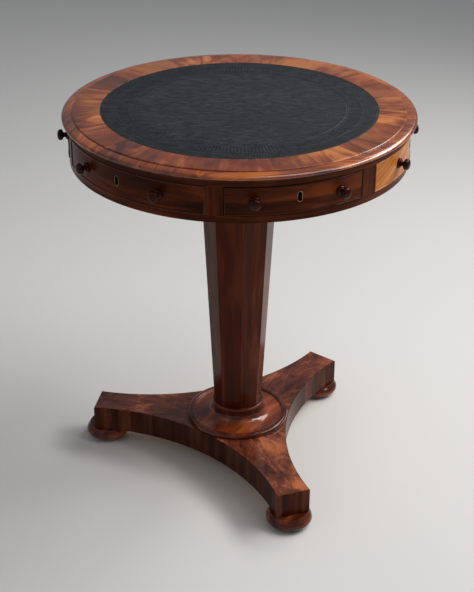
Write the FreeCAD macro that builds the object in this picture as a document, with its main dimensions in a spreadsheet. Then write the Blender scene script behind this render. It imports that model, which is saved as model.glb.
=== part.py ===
import FreeCAD, Part

import math
import os

import Sketcher
from FreeCAD import Vector

# Drum table: a round leather-topped drum with three real drawers and three false fronts, which revolves on
# an octagonal pillar above a three-armed platform on bun feet.
# The origin is on the floor under the pillar's axis, +Z is up and the front drawer faces -Y.
# A place round the drum is given as an angle from -Y towards +X, in degrees.

# The driving dimensions, in millimetres and degrees, as they stand in the sheet
DRIVING_SIZES = {
    # The top
    "table_height": 730,
    "top_radius": 318,
    "top_thickness": 17,
    "top_overhang": 10.4,
    "crossband_width": 49.4,
    "crossband_thickness": 1,
    "crossband_pieces": 24,
    "leather_thickness": 0.8,
    "moulding_width": 19,
    "moulding_step": 1.9,
    "moulding_arcs": 3,
    "moulding_turn_angle": -29,
    "moulding_nose_drop": 8.5,
    "moulding_fillet": 2.2,
    "moulding_foot_set_in": 4,
    # The frieze
    "frieze_height": 71,
    "rail_depth": 20,
    "inner_sides": 30,
    "upper_rail_height": 7.6,
    "lower_rail_height": 12,
    "drawer_half_angle": 23.25,
    "stile_angle": 5.75,
    "bottom_board_thickness": 8,
    "bottom_board_set_up": 1,
    "partition_thickness": 10,
    "hub_gap": 17.7,
    "glue_block_side": 16,
    "glue_block_length": 60,
    "glue_block_reach": 200,
    # The drawers
    "drawer_gap": 1,
    "front_thickness": 19,
    "side_thickness": 8,
    "side_play": 1,
    "back_thickness": 8,
    "back_gap": 6.5,
    "back_top_drop": 6,
    "panel_thickness": 5,
    "panel_rise": 4,
    "groove_depth": 4,
    "runner_width": 14,
    "runner_clearance": 0.3,
    "stop_width": 30,
    "stop_thickness": 8,
    "stop_height": 14,
    "dovetail_length": 12,
    "pin_narrow": 4,
    "pin_wide": 9,
    # The cockbeads, knobs and escutcheons
    "bead_width": 2.4,
    "bead_depth": 6,
    "bead_proud": 1.5,
    "knob_radius": 10,
    "knob_length": 20.5,
    "knob_foot_radius": 9,
    "knob_foot_length": 4.8,
    "knob_waist_radius": 4.6,
    "knob_waist_length": 6,
    "knob_dome": 3.6,
    "knob_shoulder": 2.5,
    "knob_sides": 12,
    "knob_spigot_radius": 3.8,
    "knob_spigot_length": 13,
    "knob_set_up": 0.5,
    "knob_angle": 14.1,
    "false_knob_angle": 15.8,
    "keyhole_set_up": 3.3,
    "escutcheon_width": 9.4,
    "escutcheon_height": 18.4,
    "escutcheon_wall": 0.9,
    "escutcheon_depth": 4,
    "escutcheon_proud": 0.2,
    # The locks
    "lock_width": 50,
    "lock_height": 33,
    "lock_depth": 11,
    "lock_proud": 1,
    "bolt_width": 22,
    "bolt_height": 16,
    "bolt_thickness": 5,
    "bolt_travel": 6,
    "bolt_clearance": 0.3,
    # The pillar and the pivot
    "pillar_head_radius": 74,
    "pillar_foot_radius": 47.2,
    "pillar_foot_height": 116.6,
    "pillar_turn_angle": 7.5,
    "tenon_radius": 30,
    "wedge_thickness": 5,
    "wedge_tip": 2,
    "wedge_length": 34,
    "pivot_gap": 0.3,
    "pivot_plate_width": 84,
    "pivot_plate_thickness": 4,
    "spindle_radius": 10,
    "spindle_socket_depth": 70,
    "spindle_clearance": 0.08,
    "nut_recess_play": 1.5,
    "nut_recess_depth": 22,
    "nut_width": 34,
    "nut_thickness": 12,
    # The base
    "base_turn_angle": 2.2,
    "foot_height": 29.3,
    "foot_radius": 43.5,
    "foot_sole_radius": 27.5,
    "foot_neck_radius": 37,
    "foot_reach": 271.3,
    "foot_dowel_radius": 12,
    "foot_dowel_length": 30,
    "platform_thickness": 50,
    "platform_reach": 290.8,
    "platform_end_width": 65.6,
    "platform_waist_radius": 101,
    "collar_radius": 99.9,
    "collar_rim_width": 11.4,
    "collar_rim_height": 9.6,
    "collar_rim_round": 2.4,
    "collar_dish_depth": 3.6,
    "collar_bell_radius": 62,
    "collar_bell_height": 12,
    "collar_neck_radius": 49.4,
    "collar_ring_radius": 51,
    "collar_ring_height": 6,
    "glue_line": 0.1,
    "overrun": 5,
}

# Three of everything: arms, feet, drawers and false fronts
SIDES = 3
FULL_TURN = math.degrees(math.tau)
HALF_TURN = FULL_TURN / 2
QUARTER_TURN = FULL_TURN / 4
THIRD_TURN = FULL_TURN / SIDES
SIXTH_TURN = HALF_TURN / SIDES
DEGREES_PER_RADIAN = math.degrees(1)
# How many flats carry a curve of an outline, where true arcs would load the model with facets
SWELL_COUNT = 4
THUMB_COUNT = 3
ROUND_END_COUNT = 4
# The pillar, its tenon and the dowels and spigots have eight sides
EIGHT_SIDES = 8
EIGHTH_TURN = FULL_TURN / EIGHT_SIDES
# How a sketch counts an arc's centre, and the length under which a place lies on an axis
CENTRE_INDEX = 3
SMALLEST = 1e-9

doc = FreeCAD.newDocument("drum_table")
sheet = doc.addObject("Spreadsheet::Sheet", "sizes")
for row, (alias, number) in enumerate(DRIVING_SIZES.items(), start=1):
    sheet.set(f"A{row}", alias.replace("_", " "))
    sheet.set(f"B{row}", str(number))
    sheet.setAlias(f"B{row}", alias)
doc.recompute()


class Size:
    """A cell of the sheet or a sum of cells: its number, and the expression that an object is bound to."""

    def __init__(self, number, text):
        self.number = number
        self.text = text

    def __add__(self, other):
        other = as_size(other)
        return Size(self.number + other.number, f"({self.text} + {other.text})")

    def __radd__(self, other):
        return as_size(other) + self

    def __sub__(self, other):
        other = as_size(other)
        return Size(self.number - other.number, f"({self.text} - {other.text})")

    def __rsub__(self, other):
        return as_size(other) - self

    def __mul__(self, other):
        other = as_size(other)
        return Size(self.number * other.number, f"({self.text} * {other.text})")

    def __rmul__(self, other):
        return as_size(other) * self

    def __truediv__(self, other):
        other = as_size(other)
        return Size(self.number / other.number, f"({self.text} / {other.text})")

    def __rtruediv__(self, other):
        return as_size(other) / self

    def __neg__(self):
        return as_size(0) - self


def as_size(value):
    """A Size as it is, or a plain number as a Size."""
    if isinstance(value, Size):
        return value
    return Size(float(value), f"{float(value):.12g}" if value >= 0 else f"(0 - {-float(value):.12g})")


def cell(alias):
    """The sheet's cell of this alias."""
    return Size(float(sheet.get(alias)), f"sizes.{alias}")


def sine(angle):
    """The sine of an angle in degrees."""
    angle = as_size(angle)
    return Size(math.sin(math.radians(angle.number)), f"sin({angle.text} * 1deg)")


def cosine(angle):
    """The cosine of an angle in degrees."""
    angle = as_size(angle)
    return Size(math.cos(math.radians(angle.number)), f"cos({angle.text} * 1deg)")


def root(size):
    """The square root of a size."""
    return Size(math.sqrt(size.number), f"sqrt({size.text})")


def bind(item, **sizes):
    """Binds the properties of an object to sizes."""
    for name, size in sizes.items():
        item.setExpression(name, as_size(size).text)
    return item


def place(item, x=0, y=0, z=0, turn=0):
    """Puts an object at a place, turned about +Z by an angle in degrees."""
    item.setExpression("Placement.Base.x", as_size(x).text)
    item.setExpression("Placement.Base.y", as_size(y).text)
    item.setExpression("Placement.Base.z", as_size(z).text)
    item.setExpression("Placement.Rotation.Angle", f"{as_size(turn).text} * 1deg")
    return item


def board(name, left, right, front, back, low, high):
    """A rectangular board between two places on each of X, Y and Z."""
    item = doc.addObject("Part::Box", name)
    bind(item, Length=right - left, Width=back - front, Height=high - low)
    return place(item, left, front, low)


def disc(name, radius, low, high):
    """A round board about the table's axis."""
    item = doc.addObject("Part::Cylinder", name)
    bind(item, Radius=radius, Height=high - low)
    return place(item, z=low)


def many_sided_disc(name, flat_radius, sides, low, high):
    """A board with flat sides about the table's axis, whose sides' middles lie at a radius."""
    item = doc.addObject("Part::Prism", name)
    item.setExpression("Polygon", as_size(sides).text)
    bind(item, Circumradius=flat_radius / cosine(HALF_TURN / as_size(sides)), Height=high - low)
    return place(item, z=low)


def slice_of_disc(name, radius, low, high, half_angle, middle=0):
    """A slice of a disc, centred on an angle from -Y."""
    item = doc.addObject("Part::Cylinder", name)
    bind(item, Radius=radius, Height=high - low, Angle=2 * as_size(half_angle))
    return place(item, z=low, turn=as_size(middle) - QUARTER_TURN - half_angle)


def cut(name, base, *tools):
    """The base without the tools."""
    for step, tool in enumerate(tools, start=1):
        item = doc.addObject("Part::Cut", name if step == len(tools) else f"{name}_step_{step}")
        item.Base = base
        item.Tool = tool
        base = item
    return base


def join(name, *pieces):
    """The pieces as one solid."""
    item = doc.addObject("Part::MultiFuse", name)
    item.Shapes = list(pieces)
    return item


def common(name, base, tool):
    """What two solids share."""
    item = doc.addObject("Part::Common", name)
    item.Base = base
    item.Tool = tool
    return item


def curved_board(name, outer, inner, low, high, half_angle, middle=0):
    """A board that follows the drum: a slice of a ring, centred on an angle from -Y."""
    blank = slice_of_disc(f"{name}_blank", outer, low, high, half_angle, middle)
    core = disc(f"{name}_core", inner, low - cell("overrun"), high + cell("overrun"))
    return cut(name, blank, core)


def sawn_board(name, outer, inner, low, high, half_angle):
    """A board with a round face and a back sawn in flats, centred on -Y."""
    blank = slice_of_disc(f"{name}_blank", outer, low, high, half_angle)
    core = many_sided_disc(f"{name}_core", inner, cell("inner_sides"), low - cell("overrun"),
                           high + cell("overrun"))
    return cut(name, blank, core)


def wedge(name, left, right, front, back, middle, front_half, back_half):
    """A block between two places on X and Y whose height changes from its front to its back."""
    item = doc.addObject("Part::Wedge", name)
    bind(item, Xmin=left, X2min=left, Xmax=right, X2max=right, Ymin=front, Ymax=back)
    bind(item, Zmin=middle - front_half, Zmax=middle + front_half)
    bind(item, Z2min=middle - back_half, Z2max=middle + back_half)
    return item


def origin_feature(body, role):
    """One of the origin planes or axes of a body."""
    return [feature for feature in body.Origin.OriginFeatures if feature.Role == role][0]


def new_body(name):
    """A body named before it gets its features."""
    return doc.addObject("PartDesign::Body", name)


def new_sketch(body, name, role, height=0):
    """An empty sketch on one of the body's own origin planes, or at a height over it."""
    sketch = body.newObject("Sketcher::SketchObject", name)
    sketch.AttachmentSupport = [(origin_feature(body, role), "")]
    sketch.MapMode = "FlatFace"
    sketch.setExpression("AttachmentOffset.Base.z", as_size(height).text)
    return sketch


def hold(sketch, edge, end, x=None, y=None):
    """Ties an end or the centre of an edge to its place in the sketch, across, up or both."""
    for kind, axis, size in (("DistanceX", -2, x), ("DistanceY", -1, y)):
        if size is None:
            continue
        size = as_size(size)
        if abs(size.number) < SMALLEST:
            sketch.addConstraint(Sketcher.Constraint("PointOnObject", edge, end, axis))
            continue
        if size.number > 0:
            constraint = Sketcher.Constraint(kind, -1, 1, edge, end, size.number)
        else:
            size = -size
            constraint = Sketcher.Constraint(kind, edge, end, -1, 1, size.number)
        index = sketch.addConstraint(constraint)
        sketch.setExpression(f"Constraints[{index}]", size.text)


def draw_arc(sketch, start, end, rise):
    """Draws an arc that stands rise proud of its chord, to the left of the way from start to end. Returns
    its index and the numbers of its ends in that order, as a sketch counts an arc's ends anticlockwise."""
    across = end[0] - start[0]
    up = end[1] - start[1]
    chord_squared = across * across + up * up
    offset = (rise * rise - chord_squared / 4) / (2 * rise * root(chord_squared))
    centre_x = (start[0] + end[0]) / 2 - up * offset
    centre_y = (start[1] + end[1]) / 2 + across * offset
    centre = Vector(centre_x.number, centre_y.number, 0)
    clockwise = rise.number > 0
    ends = (end, start) if clockwise else (start, end)
    points = [Vector(point[0].number, point[1].number, 0) for point in ends]
    angles = [math.atan2(point.y - centre.y, point.x - centre.x) for point in points]
    circle = Part.Circle(centre, Vector(0, 0, 1), centre.distanceToPoint(points[0]))
    edge = sketch.addGeometry(Part.ArcOfCircle(circle, angles[0], angles[1]), False)
    if abs(across.number) > abs(up.number):
        hold(sketch, edge, CENTRE_INDEX, y=centre_y)
    else:
        hold(sketch, edge, CENTRE_INDEX, x=centre_x)
    return (edge, 2, 1) if clockwise else (edge, 1, 2)


def draw_outline(sketch, corners):
    """Draws a closed outline. A corner is (x, y), reached by a straight edge, or (x, y, rise), reached by an
    arc that stands rise proud of its chord, to the left of the way there."""
    edges = []
    for index, corner in enumerate(corners):
        start, end = ([as_size(value) for value in place[:2]] for place in (corners[index - 1], corner))
        if len(corner) == 2:
            points = [Vector(point[0].number, point[1].number, 0) for point in (start, end)]
            edges.append((sketch.addGeometry(Part.LineSegment(*points), False), 1, 2))
        else:
            edges.append(draw_arc(sketch, start, end, as_size(corner[2])))
    for index, (edge, start, end) in enumerate(edges):
        following = edges[(index + 1) % len(edges)]
        sketch.addConstraint(Sketcher.Constraint("Coincident", edge, end, following[0], following[1]))
        hold(sketch, edge, end, *corners[index][:2])


def swell(start, end, out, count):
    """The corners that carry an outline by flats from start to end, along half an ellipse that stands out
    from the straight way by (across, up) in its middle."""
    corners = []
    for step in range(1, count):
        angle = math.radians(HALF_TURN * step / count)
        way_share = (1 - math.cos(angle)) / 2
        out_share = math.sin(angle)
        corners.append(tuple(start[axis] + (end[axis] - start[axis]) * way_share + out[axis] * out_share
                             for axis in (0, 1)))
    return corners + [end]


def quarter(start, end, count):
    """The corners that carry an outline by flats from start to end, along a quarter of an ellipse that
    leaves start level and meets end upright."""
    corners = []
    for step in range(1, count):
        angle = math.radians(QUARTER_TURN * step / count)
        across_share = math.sin(angle)
        up_share = 1 - math.cos(angle)
        across = start[0] + (end[0] - start[0]) * across_share
        corners.append((across, start[1] + (end[1] - start[1]) * up_share))
    return corners + [end]


def pad(body, name, sketch, length, up=True):
    """Raises a sketch into a solid."""
    feature = body.newObject("PartDesign::Pad", name)
    feature.Profile = sketch
    feature.Reversed = not up
    return bind(feature, Length=length)


def pocket(body, name, sketch, depth, down=True):
    """Sinks a sketch into the solid."""
    feature = body.newObject("PartDesign::Pocket", name)
    feature.Profile = sketch
    feature.Reversed = not down
    return bind(feature, Length=depth)


def turned(name, corners, angle=FULL_TURN):
    """A turned piece: the outline (distance from the axis, place along it) carried round the axis."""
    body = new_body(name)
    sketch = new_sketch(body, f"{name}_outline", "XZ_Plane")
    draw_outline(sketch, corners)
    feature = body.newObject("PartDesign::Revolution", f"{name}_turning")
    feature.Profile = sketch
    feature.ReferenceAxis = (origin_feature(body, "Z_Axis"), [""])
    bind(feature, Angle=angle)
    return body


def placed(name, *pieces, x=0, y=0, z=0, turn=0):
    """The pieces held together at their own place."""
    item = doc.addObject("Part::Compound", name)
    item.Links = list(pieces)
    return place(item, x, y, z, turn)


nodes = {}


def finish(name, *pieces, turn=0):
    """Makes the pieces one node of the model, turned about the table's axis."""
    item = placed(name, *pieces, turn=turn)
    item.Label = name
    nodes[name] = item


# Heights and radii that more than one piece follows
top_face = cell("table_height")
top_underside = top_face - cell("top_thickness")
board_radius = cell("top_radius") - cell("moulding_width")
frieze_radius = cell("top_radius") - cell("top_overhang")
frieze_low = top_underside - cell("frieze_height")
rail_radius = frieze_radius - cell("rail_depth")
opening_low = frieze_low + cell("lower_rail_height")
opening_high = top_underside - cell("upper_rail_height")
gap_angle = cell("drawer_gap") / frieze_radius * DEGREES_PER_RADIAN
false_half_angle = SIXTH_TURN - cell("drawer_half_angle") - cell("stile_angle")
floor_low = frieze_low + cell("bottom_board_set_up")
floor_top = floor_low + cell("bottom_board_thickness")

opening_middle = (opening_low + opening_high) / 2
knob_height = opening_middle + cell("knob_set_up")
keyhole_height = opening_middle + cell("keyhole_set_up")

front_low = opening_low + cell("drawer_gap")
front_high = opening_high - cell("drawer_gap")
front_back_radius = frieze_radius - cell("front_thickness")
side_outer = rail_radius * sine(cell("drawer_half_angle")) - cell("side_play")
side_inner = side_outer - cell("side_thickness")
partition_inner = side_outer + cell("side_play")
partition_outer = partition_inner + cell("partition_thickness")
drawer_back = partition_inner * (cosine(SIXTH_TURN) / sine(SIXTH_TURN)) + cell("back_gap")
runner_top = front_low - cell("runner_clearance")

plate_gap_low = frieze_low - cell("pivot_gap")
pillar_top = plate_gap_low - cell("pivot_gap")
platform_low = cell("foot_height")
platform_top = platform_low + cell("platform_thickness")
hub_top = top_underside
nut_seat = hub_top - cell("nut_recess_depth")
overrun = cell("overrun")


def top_pieces():
    """The round board with its leather, crossbanded border and edge moulding."""
    veneer_low = top_face - cell("crossband_thickness")
    leather_radius = board_radius - cell("crossband_width")
    finish("top_board", disc("top_board_disc", board_radius, top_underside, veneer_low))
    leather_high = veneer_low + cell("leather_thickness")
    finish("leather_inset", disc("leather_disc", leather_radius, veneer_low, leather_high))
    count = int(cell("crossband_pieces").number)
    half_angle = HALF_TURN / cell("crossband_pieces")
    pieces = [
        curved_board(
            f"crossband_{index + 1}",
            board_radius,
            leather_radius,
            veneer_low,
            top_face,
            half_angle,
            2 * index * half_angle,
        )
        for index in range(count)
    ]
    finish("crossband", *pieces)


def moulding_pieces():
    """The thumb moulding round the top's edge: a step down from the crossband, a nose and a fillet below."""
    crown = (board_radius, top_face - cell("moulding_step"))
    nose = (cell("top_radius"), crown[1] - cell("moulding_nose_drop"))
    foot = cell("top_radius") - cell("moulding_foot_set_in")
    corners = [
        (board_radius, top_underside),
        crown,
        *quarter(crown, nose, THUMB_COUNT),
        (foot, top_underside + cell("moulding_fillet")),
        (foot, top_underside),
    ]
    angle = FULL_TURN / cell("moulding_arcs")
    pieces = []
    for index in range(int(cell("moulding_arcs").number)):
        arc = turned(f"moulding_arc_{index + 1}", corners, angle=angle)
        pieces.append(place(arc, turn=cell("moulding_turn_angle") - QUARTER_TURN + index * angle))
    finish("edge_moulding", *pieces)


def frieze_pieces():
    """The upper and lower rails, the six stiles between them and the board that closes the drum below."""
    rail_core = many_sided_disc("upper_rail_core", rail_radius, cell("inner_sides"), opening_high - overrun,
                                top_underside + overrun)
    rail_disc = disc("upper_rail_disc", frieze_radius, opening_high, top_underside)
    upper = cut("upper_rail_ring", rail_disc, rail_core)
    mortise_half = cell("bolt_width") / 2 + 2 * cell("bolt_clearance")
    mortise_top = front_high + cell("bolt_travel") + 2 * cell("bolt_clearance")
    mortise_front = bolt_front - 2 * cell("bolt_clearance")
    mortise_back = bolt_back + 2 * cell("bolt_clearance")
    mortises = []
    for index in range(SIDES):
        mortise = board(
            f"bolt_mortise_{index + 1}",
            -mortise_half,
            mortise_half,
            mortise_front,
            mortise_back,
            opening_high - overrun,
            mortise_top,
        )
        mortises.append(placed(f"bolt_mortise_{index + 1}_placed", mortise, turn=index * THIRD_TURN))
    finish("upper_rail", cut("upper_rail_body", upper, *mortises))

    lower = cut(
        "lower_rail_body",
        disc("lower_rail_disc", frieze_radius, frieze_low, opening_low),
        many_sided_disc("lower_rail_core", rail_radius, cell("inner_sides"), frieze_low - overrun,
                        opening_low + overrun),
    )
    finish("lower_rail", lower)

    half_plate = cell("pivot_plate_width") / 2 + cell("glue_line")
    plate_seat = frieze_low + cell("pivot_plate_thickness")
    finish(
        "bottom_board",
        cut(
            "bottom_board_body",
            many_sided_disc("bottom_board_blank", rail_radius - cell("glue_line"), cell("inner_sides"),
                            floor_low, floor_top),
            board("plate_recess", -half_plate, half_plate, -half_plate, half_plate, floor_low - overrun,
                  plate_seat),
            disc("floor_bore", running_bore, floor_low, floor_top + overrun),
        ),
    )

    stile_half = (cell("stile_angle") - gap_angle) / 2
    stile_middle = cell("drawer_half_angle") + gap_angle + stile_half
    stiles = []
    for index in range(SIDES):
        for side in (-1, 1):
            middle = index * THIRD_TURN + side * stile_middle
            name = f"stile_{len(stiles) + 1}"
            stiles.append(
                curved_board(name, frieze_radius, rail_radius, opening_low, opening_high, stile_half, middle)
            )
    finish("frieze_stiles", *stiles)


def inner_pieces():
    """What the drum holds inside: hub, partitions, runners, kickers, stops and glue blocks."""
    hub_half = drawer_back - cell("runner_clearance") - cell("stop_thickness") - cell("hub_gap")
    hub = many_sided_disc("hub_blank", hub_half, 2 * SIDES, floor_top, hub_top)
    recess_half = cell("nut_width") * root(as_size(2)) / 2 + cell("nut_recess_play")
    recess = board("nut_recess", -recess_half, recess_half, -recess_half, recess_half, nut_seat,
                   hub_top + overrun)
    bore = disc("hub_bore", running_bore, floor_top - overrun, hub_top)
    finish("hub_block", cut("hub_body", hub, bore, recess))

    def six(name, label, left, right, low, high, front, back, trimmed=True):
        """Six like boards, one on each side of each drawer, ended by the rails and by the mitre between
        drawers."""
        pieces = []
        for index in range(SIDES):
            for side in (-1, 1):
                piece_name = f"{label}_{len(pieces) + 1}"
                near, far = (left, right) if side > 0 else (-right, -left)
                piece = board(f"{piece_name}_blank", near, far, front, back, low, high)
                if trimmed:
                    bay = slice_of_disc(
                        f"{piece_name}_bay", rail_radius, low - overrun, high + overrun, SIXTH_TURN
                    )
                    piece = common(f"{piece_name}_trimmed", piece, bay)
                pieces.append(placed(piece_name, piece, turn=index * THIRD_TURN))
        finish(name, *pieces)

    runner_inner = side_outer - cell("runner_width")
    six("drawer_partitions", "partition", partition_inner, partition_outer, floor_top, hub_top,
        -rail_radius, as_size(0))
    six("drawer_runners", "runner", runner_inner, side_outer, floor_top, runner_top,
        -rail_radius, -drawer_back)
    six("drawer_kickers", "kicker", runner_inner, side_outer, opening_high, hub_top,
        -rail_radius, -drawer_back)
    block_front = -cell("glue_block_reach")
    six("glue_blocks", "glue_block", partition_outer, partition_outer + cell("glue_block_side"),
        hub_top - cell("glue_block_side"), hub_top, block_front, block_front + cell("glue_block_length"),
        trimmed=False)

    stops = []
    for index in range(SIDES):
        half = cell("stop_width") / 2
        front = -drawer_back + cell("runner_clearance")
        stop = board(f"stop_{index + 1}_board", -half, half, front, front + cell("stop_thickness"),
                     floor_top, floor_top + cell("stop_height"))
        stops.append(placed(f"stop_{index + 1}", stop, turn=index * THIRD_TURN))
    finish("drawer_stops", *stops)


def bead_frame(name, half_angle, low, high, proud):
    """The cockbead round a front: a thin frame, let into the front's edge and standing proud of its face."""
    outer = frieze_radius + proud
    inner = frieze_radius - cell("bead_depth")
    width_angle = cell("bead_width") / frieze_radius * DEGREES_PER_RADIAN
    blank = slice_of_disc(f"{name}_blank", outer, low, high, half_angle)
    core = many_sided_disc(f"{name}_core", inner, cell("inner_sides"), low - overrun, high + overrun)
    window = slice_of_disc(f"{name}_window", outer + overrun, low + cell("bead_width"),
                           high - cell("bead_width"), half_angle - width_angle)
    return cut(name, blank, core, window)


def outward_prism(name, outlines, near, far):
    """A piece of even outline that runs outwards along -Y between two distances from the axis."""
    body = new_body(name)
    sketch = new_sketch(body, f"{name}_outline", "XZ_Plane")
    for corners in outlines:
        draw_outline(sketch, corners)
    pad(body, f"{name}_pad", sketch, far - near)
    return place(body, y=-near)


def regular_outline(radius, sides=EIGHT_SIDES, middle=0, turn=0):
    """The outline of a regular many-sided piece, whose radius is to its corners."""
    angles = [turn + FULL_TURN / sides * (step + 1 / 2) for step in range(sides)]
    return [(radius * cosine(angle), middle + radius * sine(angle)) for angle in angles]


def slot_corners(half_width, half_height, middle):
    """A slot with round ends."""
    low = middle - (half_height - half_width)
    high = middle + (half_height - half_width)
    top = swell((half_width, high), (-half_width, high), (as_size(0), half_width), ROUND_END_COUNT)
    bottom = swell((-half_width, low), (half_width, low), (as_size(0), -half_width), ROUND_END_COUNT)
    return [(half_width, high), *top, (-half_width, low), *bottom]


def outer_edges(shape, place_along, radius):
    """The names of the edges that lie across -Y at a distance from the axis, at a radius from the knob's
    own axis."""
    names = []
    for index, edge in enumerate(shape.Edges, start=1):
        ends = [vertex.Point for vertex in edge.Vertexes]
        level = all(abs(point.y + place_along.number) < SMALLEST for point in ends)
        if level and all(abs(math.hypot(point.x, point.z) - radius.number) < SMALLEST for point in ends):
            names.append(f"Edge{index}")
    return names


def bevel(body, name, base, edges, size):
    """Takes the corners off edges of a feature."""
    feature = body.newObject("PartDesign::Chamfer", name)
    feature.Base = (base, edges)
    return bind(feature, Size=size)


def knob_solid():
    """A knob with its spigot, facing -Y: a button foot, a waist and a domed head, pared to many sides."""
    sides = int(cell("knob_sides").number)
    foot_end = frieze_radius + cell("knob_foot_length")
    waist_end = foot_end + cell("knob_waist_length")
    head_end = frieze_radius + cell("knob_length")
    spigot_end = frieze_radius - cell("knob_spigot_length")
    body = new_body("knob_body")
    for label, radius, corner_count, near, far in (
        ("spigot", cell("knob_spigot_radius"), EIGHT_SIDES, spigot_end, frieze_radius),
        ("foot", cell("knob_foot_radius"), sides, frieze_radius, foot_end),
        ("waist", cell("knob_waist_radius"), sides, foot_end, waist_end),
        ("head", cell("knob_radius"), sides, waist_end, head_end),
    ):
        sketch = new_sketch(body, f"knob_{label}_outline", "XZ_Plane", near)
        draw_outline(sketch, regular_outline(radius, corner_count))
        head = pad(body, f"knob_{label}", sketch, far - near)
    doc.recompute()
    edges = outer_edges(head.Shape, head_end, cell("knob_radius"))
    dome = bevel(body, "knob_dome", head, edges, cell("knob_dome"))
    doc.recompute()
    edges = outer_edges(dome.Shape, waist_end, cell("knob_radius"))
    bevel(body, "knob_shoulder", dome, edges, cell("knob_shoulder"))
    return place(body, z=knob_height)


def spigot_hole():
    """The blind hole that a knob's spigot is glued into, facing -Y."""
    outline = regular_outline(cell("knob_spigot_radius") + cell("glue_line"), middle=knob_height)
    near = frieze_radius - cell("knob_spigot_length") - cell("glue_line")
    return outward_prism("spigot_hole", [outline], near, frieze_radius + overrun)


def escutcheon_solid():
    """The thin brass lining of a keyhole, facing -Y."""
    half_width = cell("escutcheon_width") / 2
    half_height = cell("escutcheon_height") / 2
    wall = cell("escutcheon_wall")
    middle = keyhole_height
    outlines = [slot_corners(half_width, half_height, middle),
                slot_corners(half_width - wall, half_height - wall, middle)]
    return outward_prism("escutcheon_solid", outlines, frieze_radius - cell("escutcheon_depth"),
                         frieze_radius + cell("escutcheon_proud"))


def escutcheon_seat():
    """The recess that an escutcheon is let into, facing -Y."""
    outline = slot_corners(cell("escutcheon_width") / 2, cell("escutcheon_height") / 2, keyhole_height)
    return outward_prism("escutcheon_seat", [outline], frieze_radius - cell("escutcheon_depth"),
                         frieze_radius + overrun)


def keyhole(name, near):
    """The keyhole behind the escutcheon, as far as a distance from the axis."""
    wall = cell("escutcheon_wall")
    outline = slot_corners(cell("escutcheon_width") / 2 - wall, cell("escutcheon_height") / 2 - wall,
                           keyhole_height)
    return outward_prism(name, [outline], near, frieze_radius + overrun)


# The lock sits in the back of the drawer's front, and its bolt rises out of the front's top edge
lock_back = -(front_back_radius - cell("lock_proud"))
lock_front = lock_back - cell("lock_depth")
bolt_middle = (lock_front + lock_back) / 2
bolt_front = bolt_middle - cell("bolt_thickness") / 2
bolt_back = bolt_middle + cell("bolt_thickness") / 2
running_bore = cell("spindle_radius") + cell("spindle_clearance")


def lock_pieces(name, turn):
    """A drawer lock: a case with a way for the bolt, and the bolt, drawn in."""
    half = cell("lock_width") / 2
    case = board(f"{name}_case_block", -half, half, lock_front, lock_back,
                 front_high - cell("lock_height"), front_high)
    play = cell("bolt_clearance")
    bolt_half = cell("bolt_width") / 2
    bolt_low = front_high - cell("bolt_height")
    way = board(f"{name}_bolt_way", -bolt_half - play, bolt_half + play, bolt_front - play, bolt_back + play,
                bolt_low - play, front_high + overrun)
    key_way = keyhole(f"{name}_key_way", -bolt_back)
    finish(f"{name}_lock_case", cut(f"{name}_case_body", case, way, key_way), turn=turn)
    bolt = board(f"{name}_bolt_bar", -bolt_half, bolt_half, bolt_front, bolt_back, bolt_low, front_high)
    finish(f"{name}_lock_bolt", bolt, turn=turn)
    return case


def dovetail_pins(name, left, right, narrow_end, wide_end, low, high):
    """The pins of a dovetail joint: a half pin at each edge of the board and a whole one between."""
    front, back = (narrow_end, wide_end) if narrow_end.number < wide_end.number else (wide_end, narrow_end)
    halves = (cell("pin_narrow") / 2, cell("pin_wide") / 2)
    if narrow_end.number > wide_end.number:
        halves = halves[::-1]
    pins = [
        wedge(f"{name}_{index + 1}", left, right, front, back, middle, *halves)
        for index, middle in enumerate((low, (low + high) / 2, high))
    ]
    return join(name, *pins)


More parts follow.
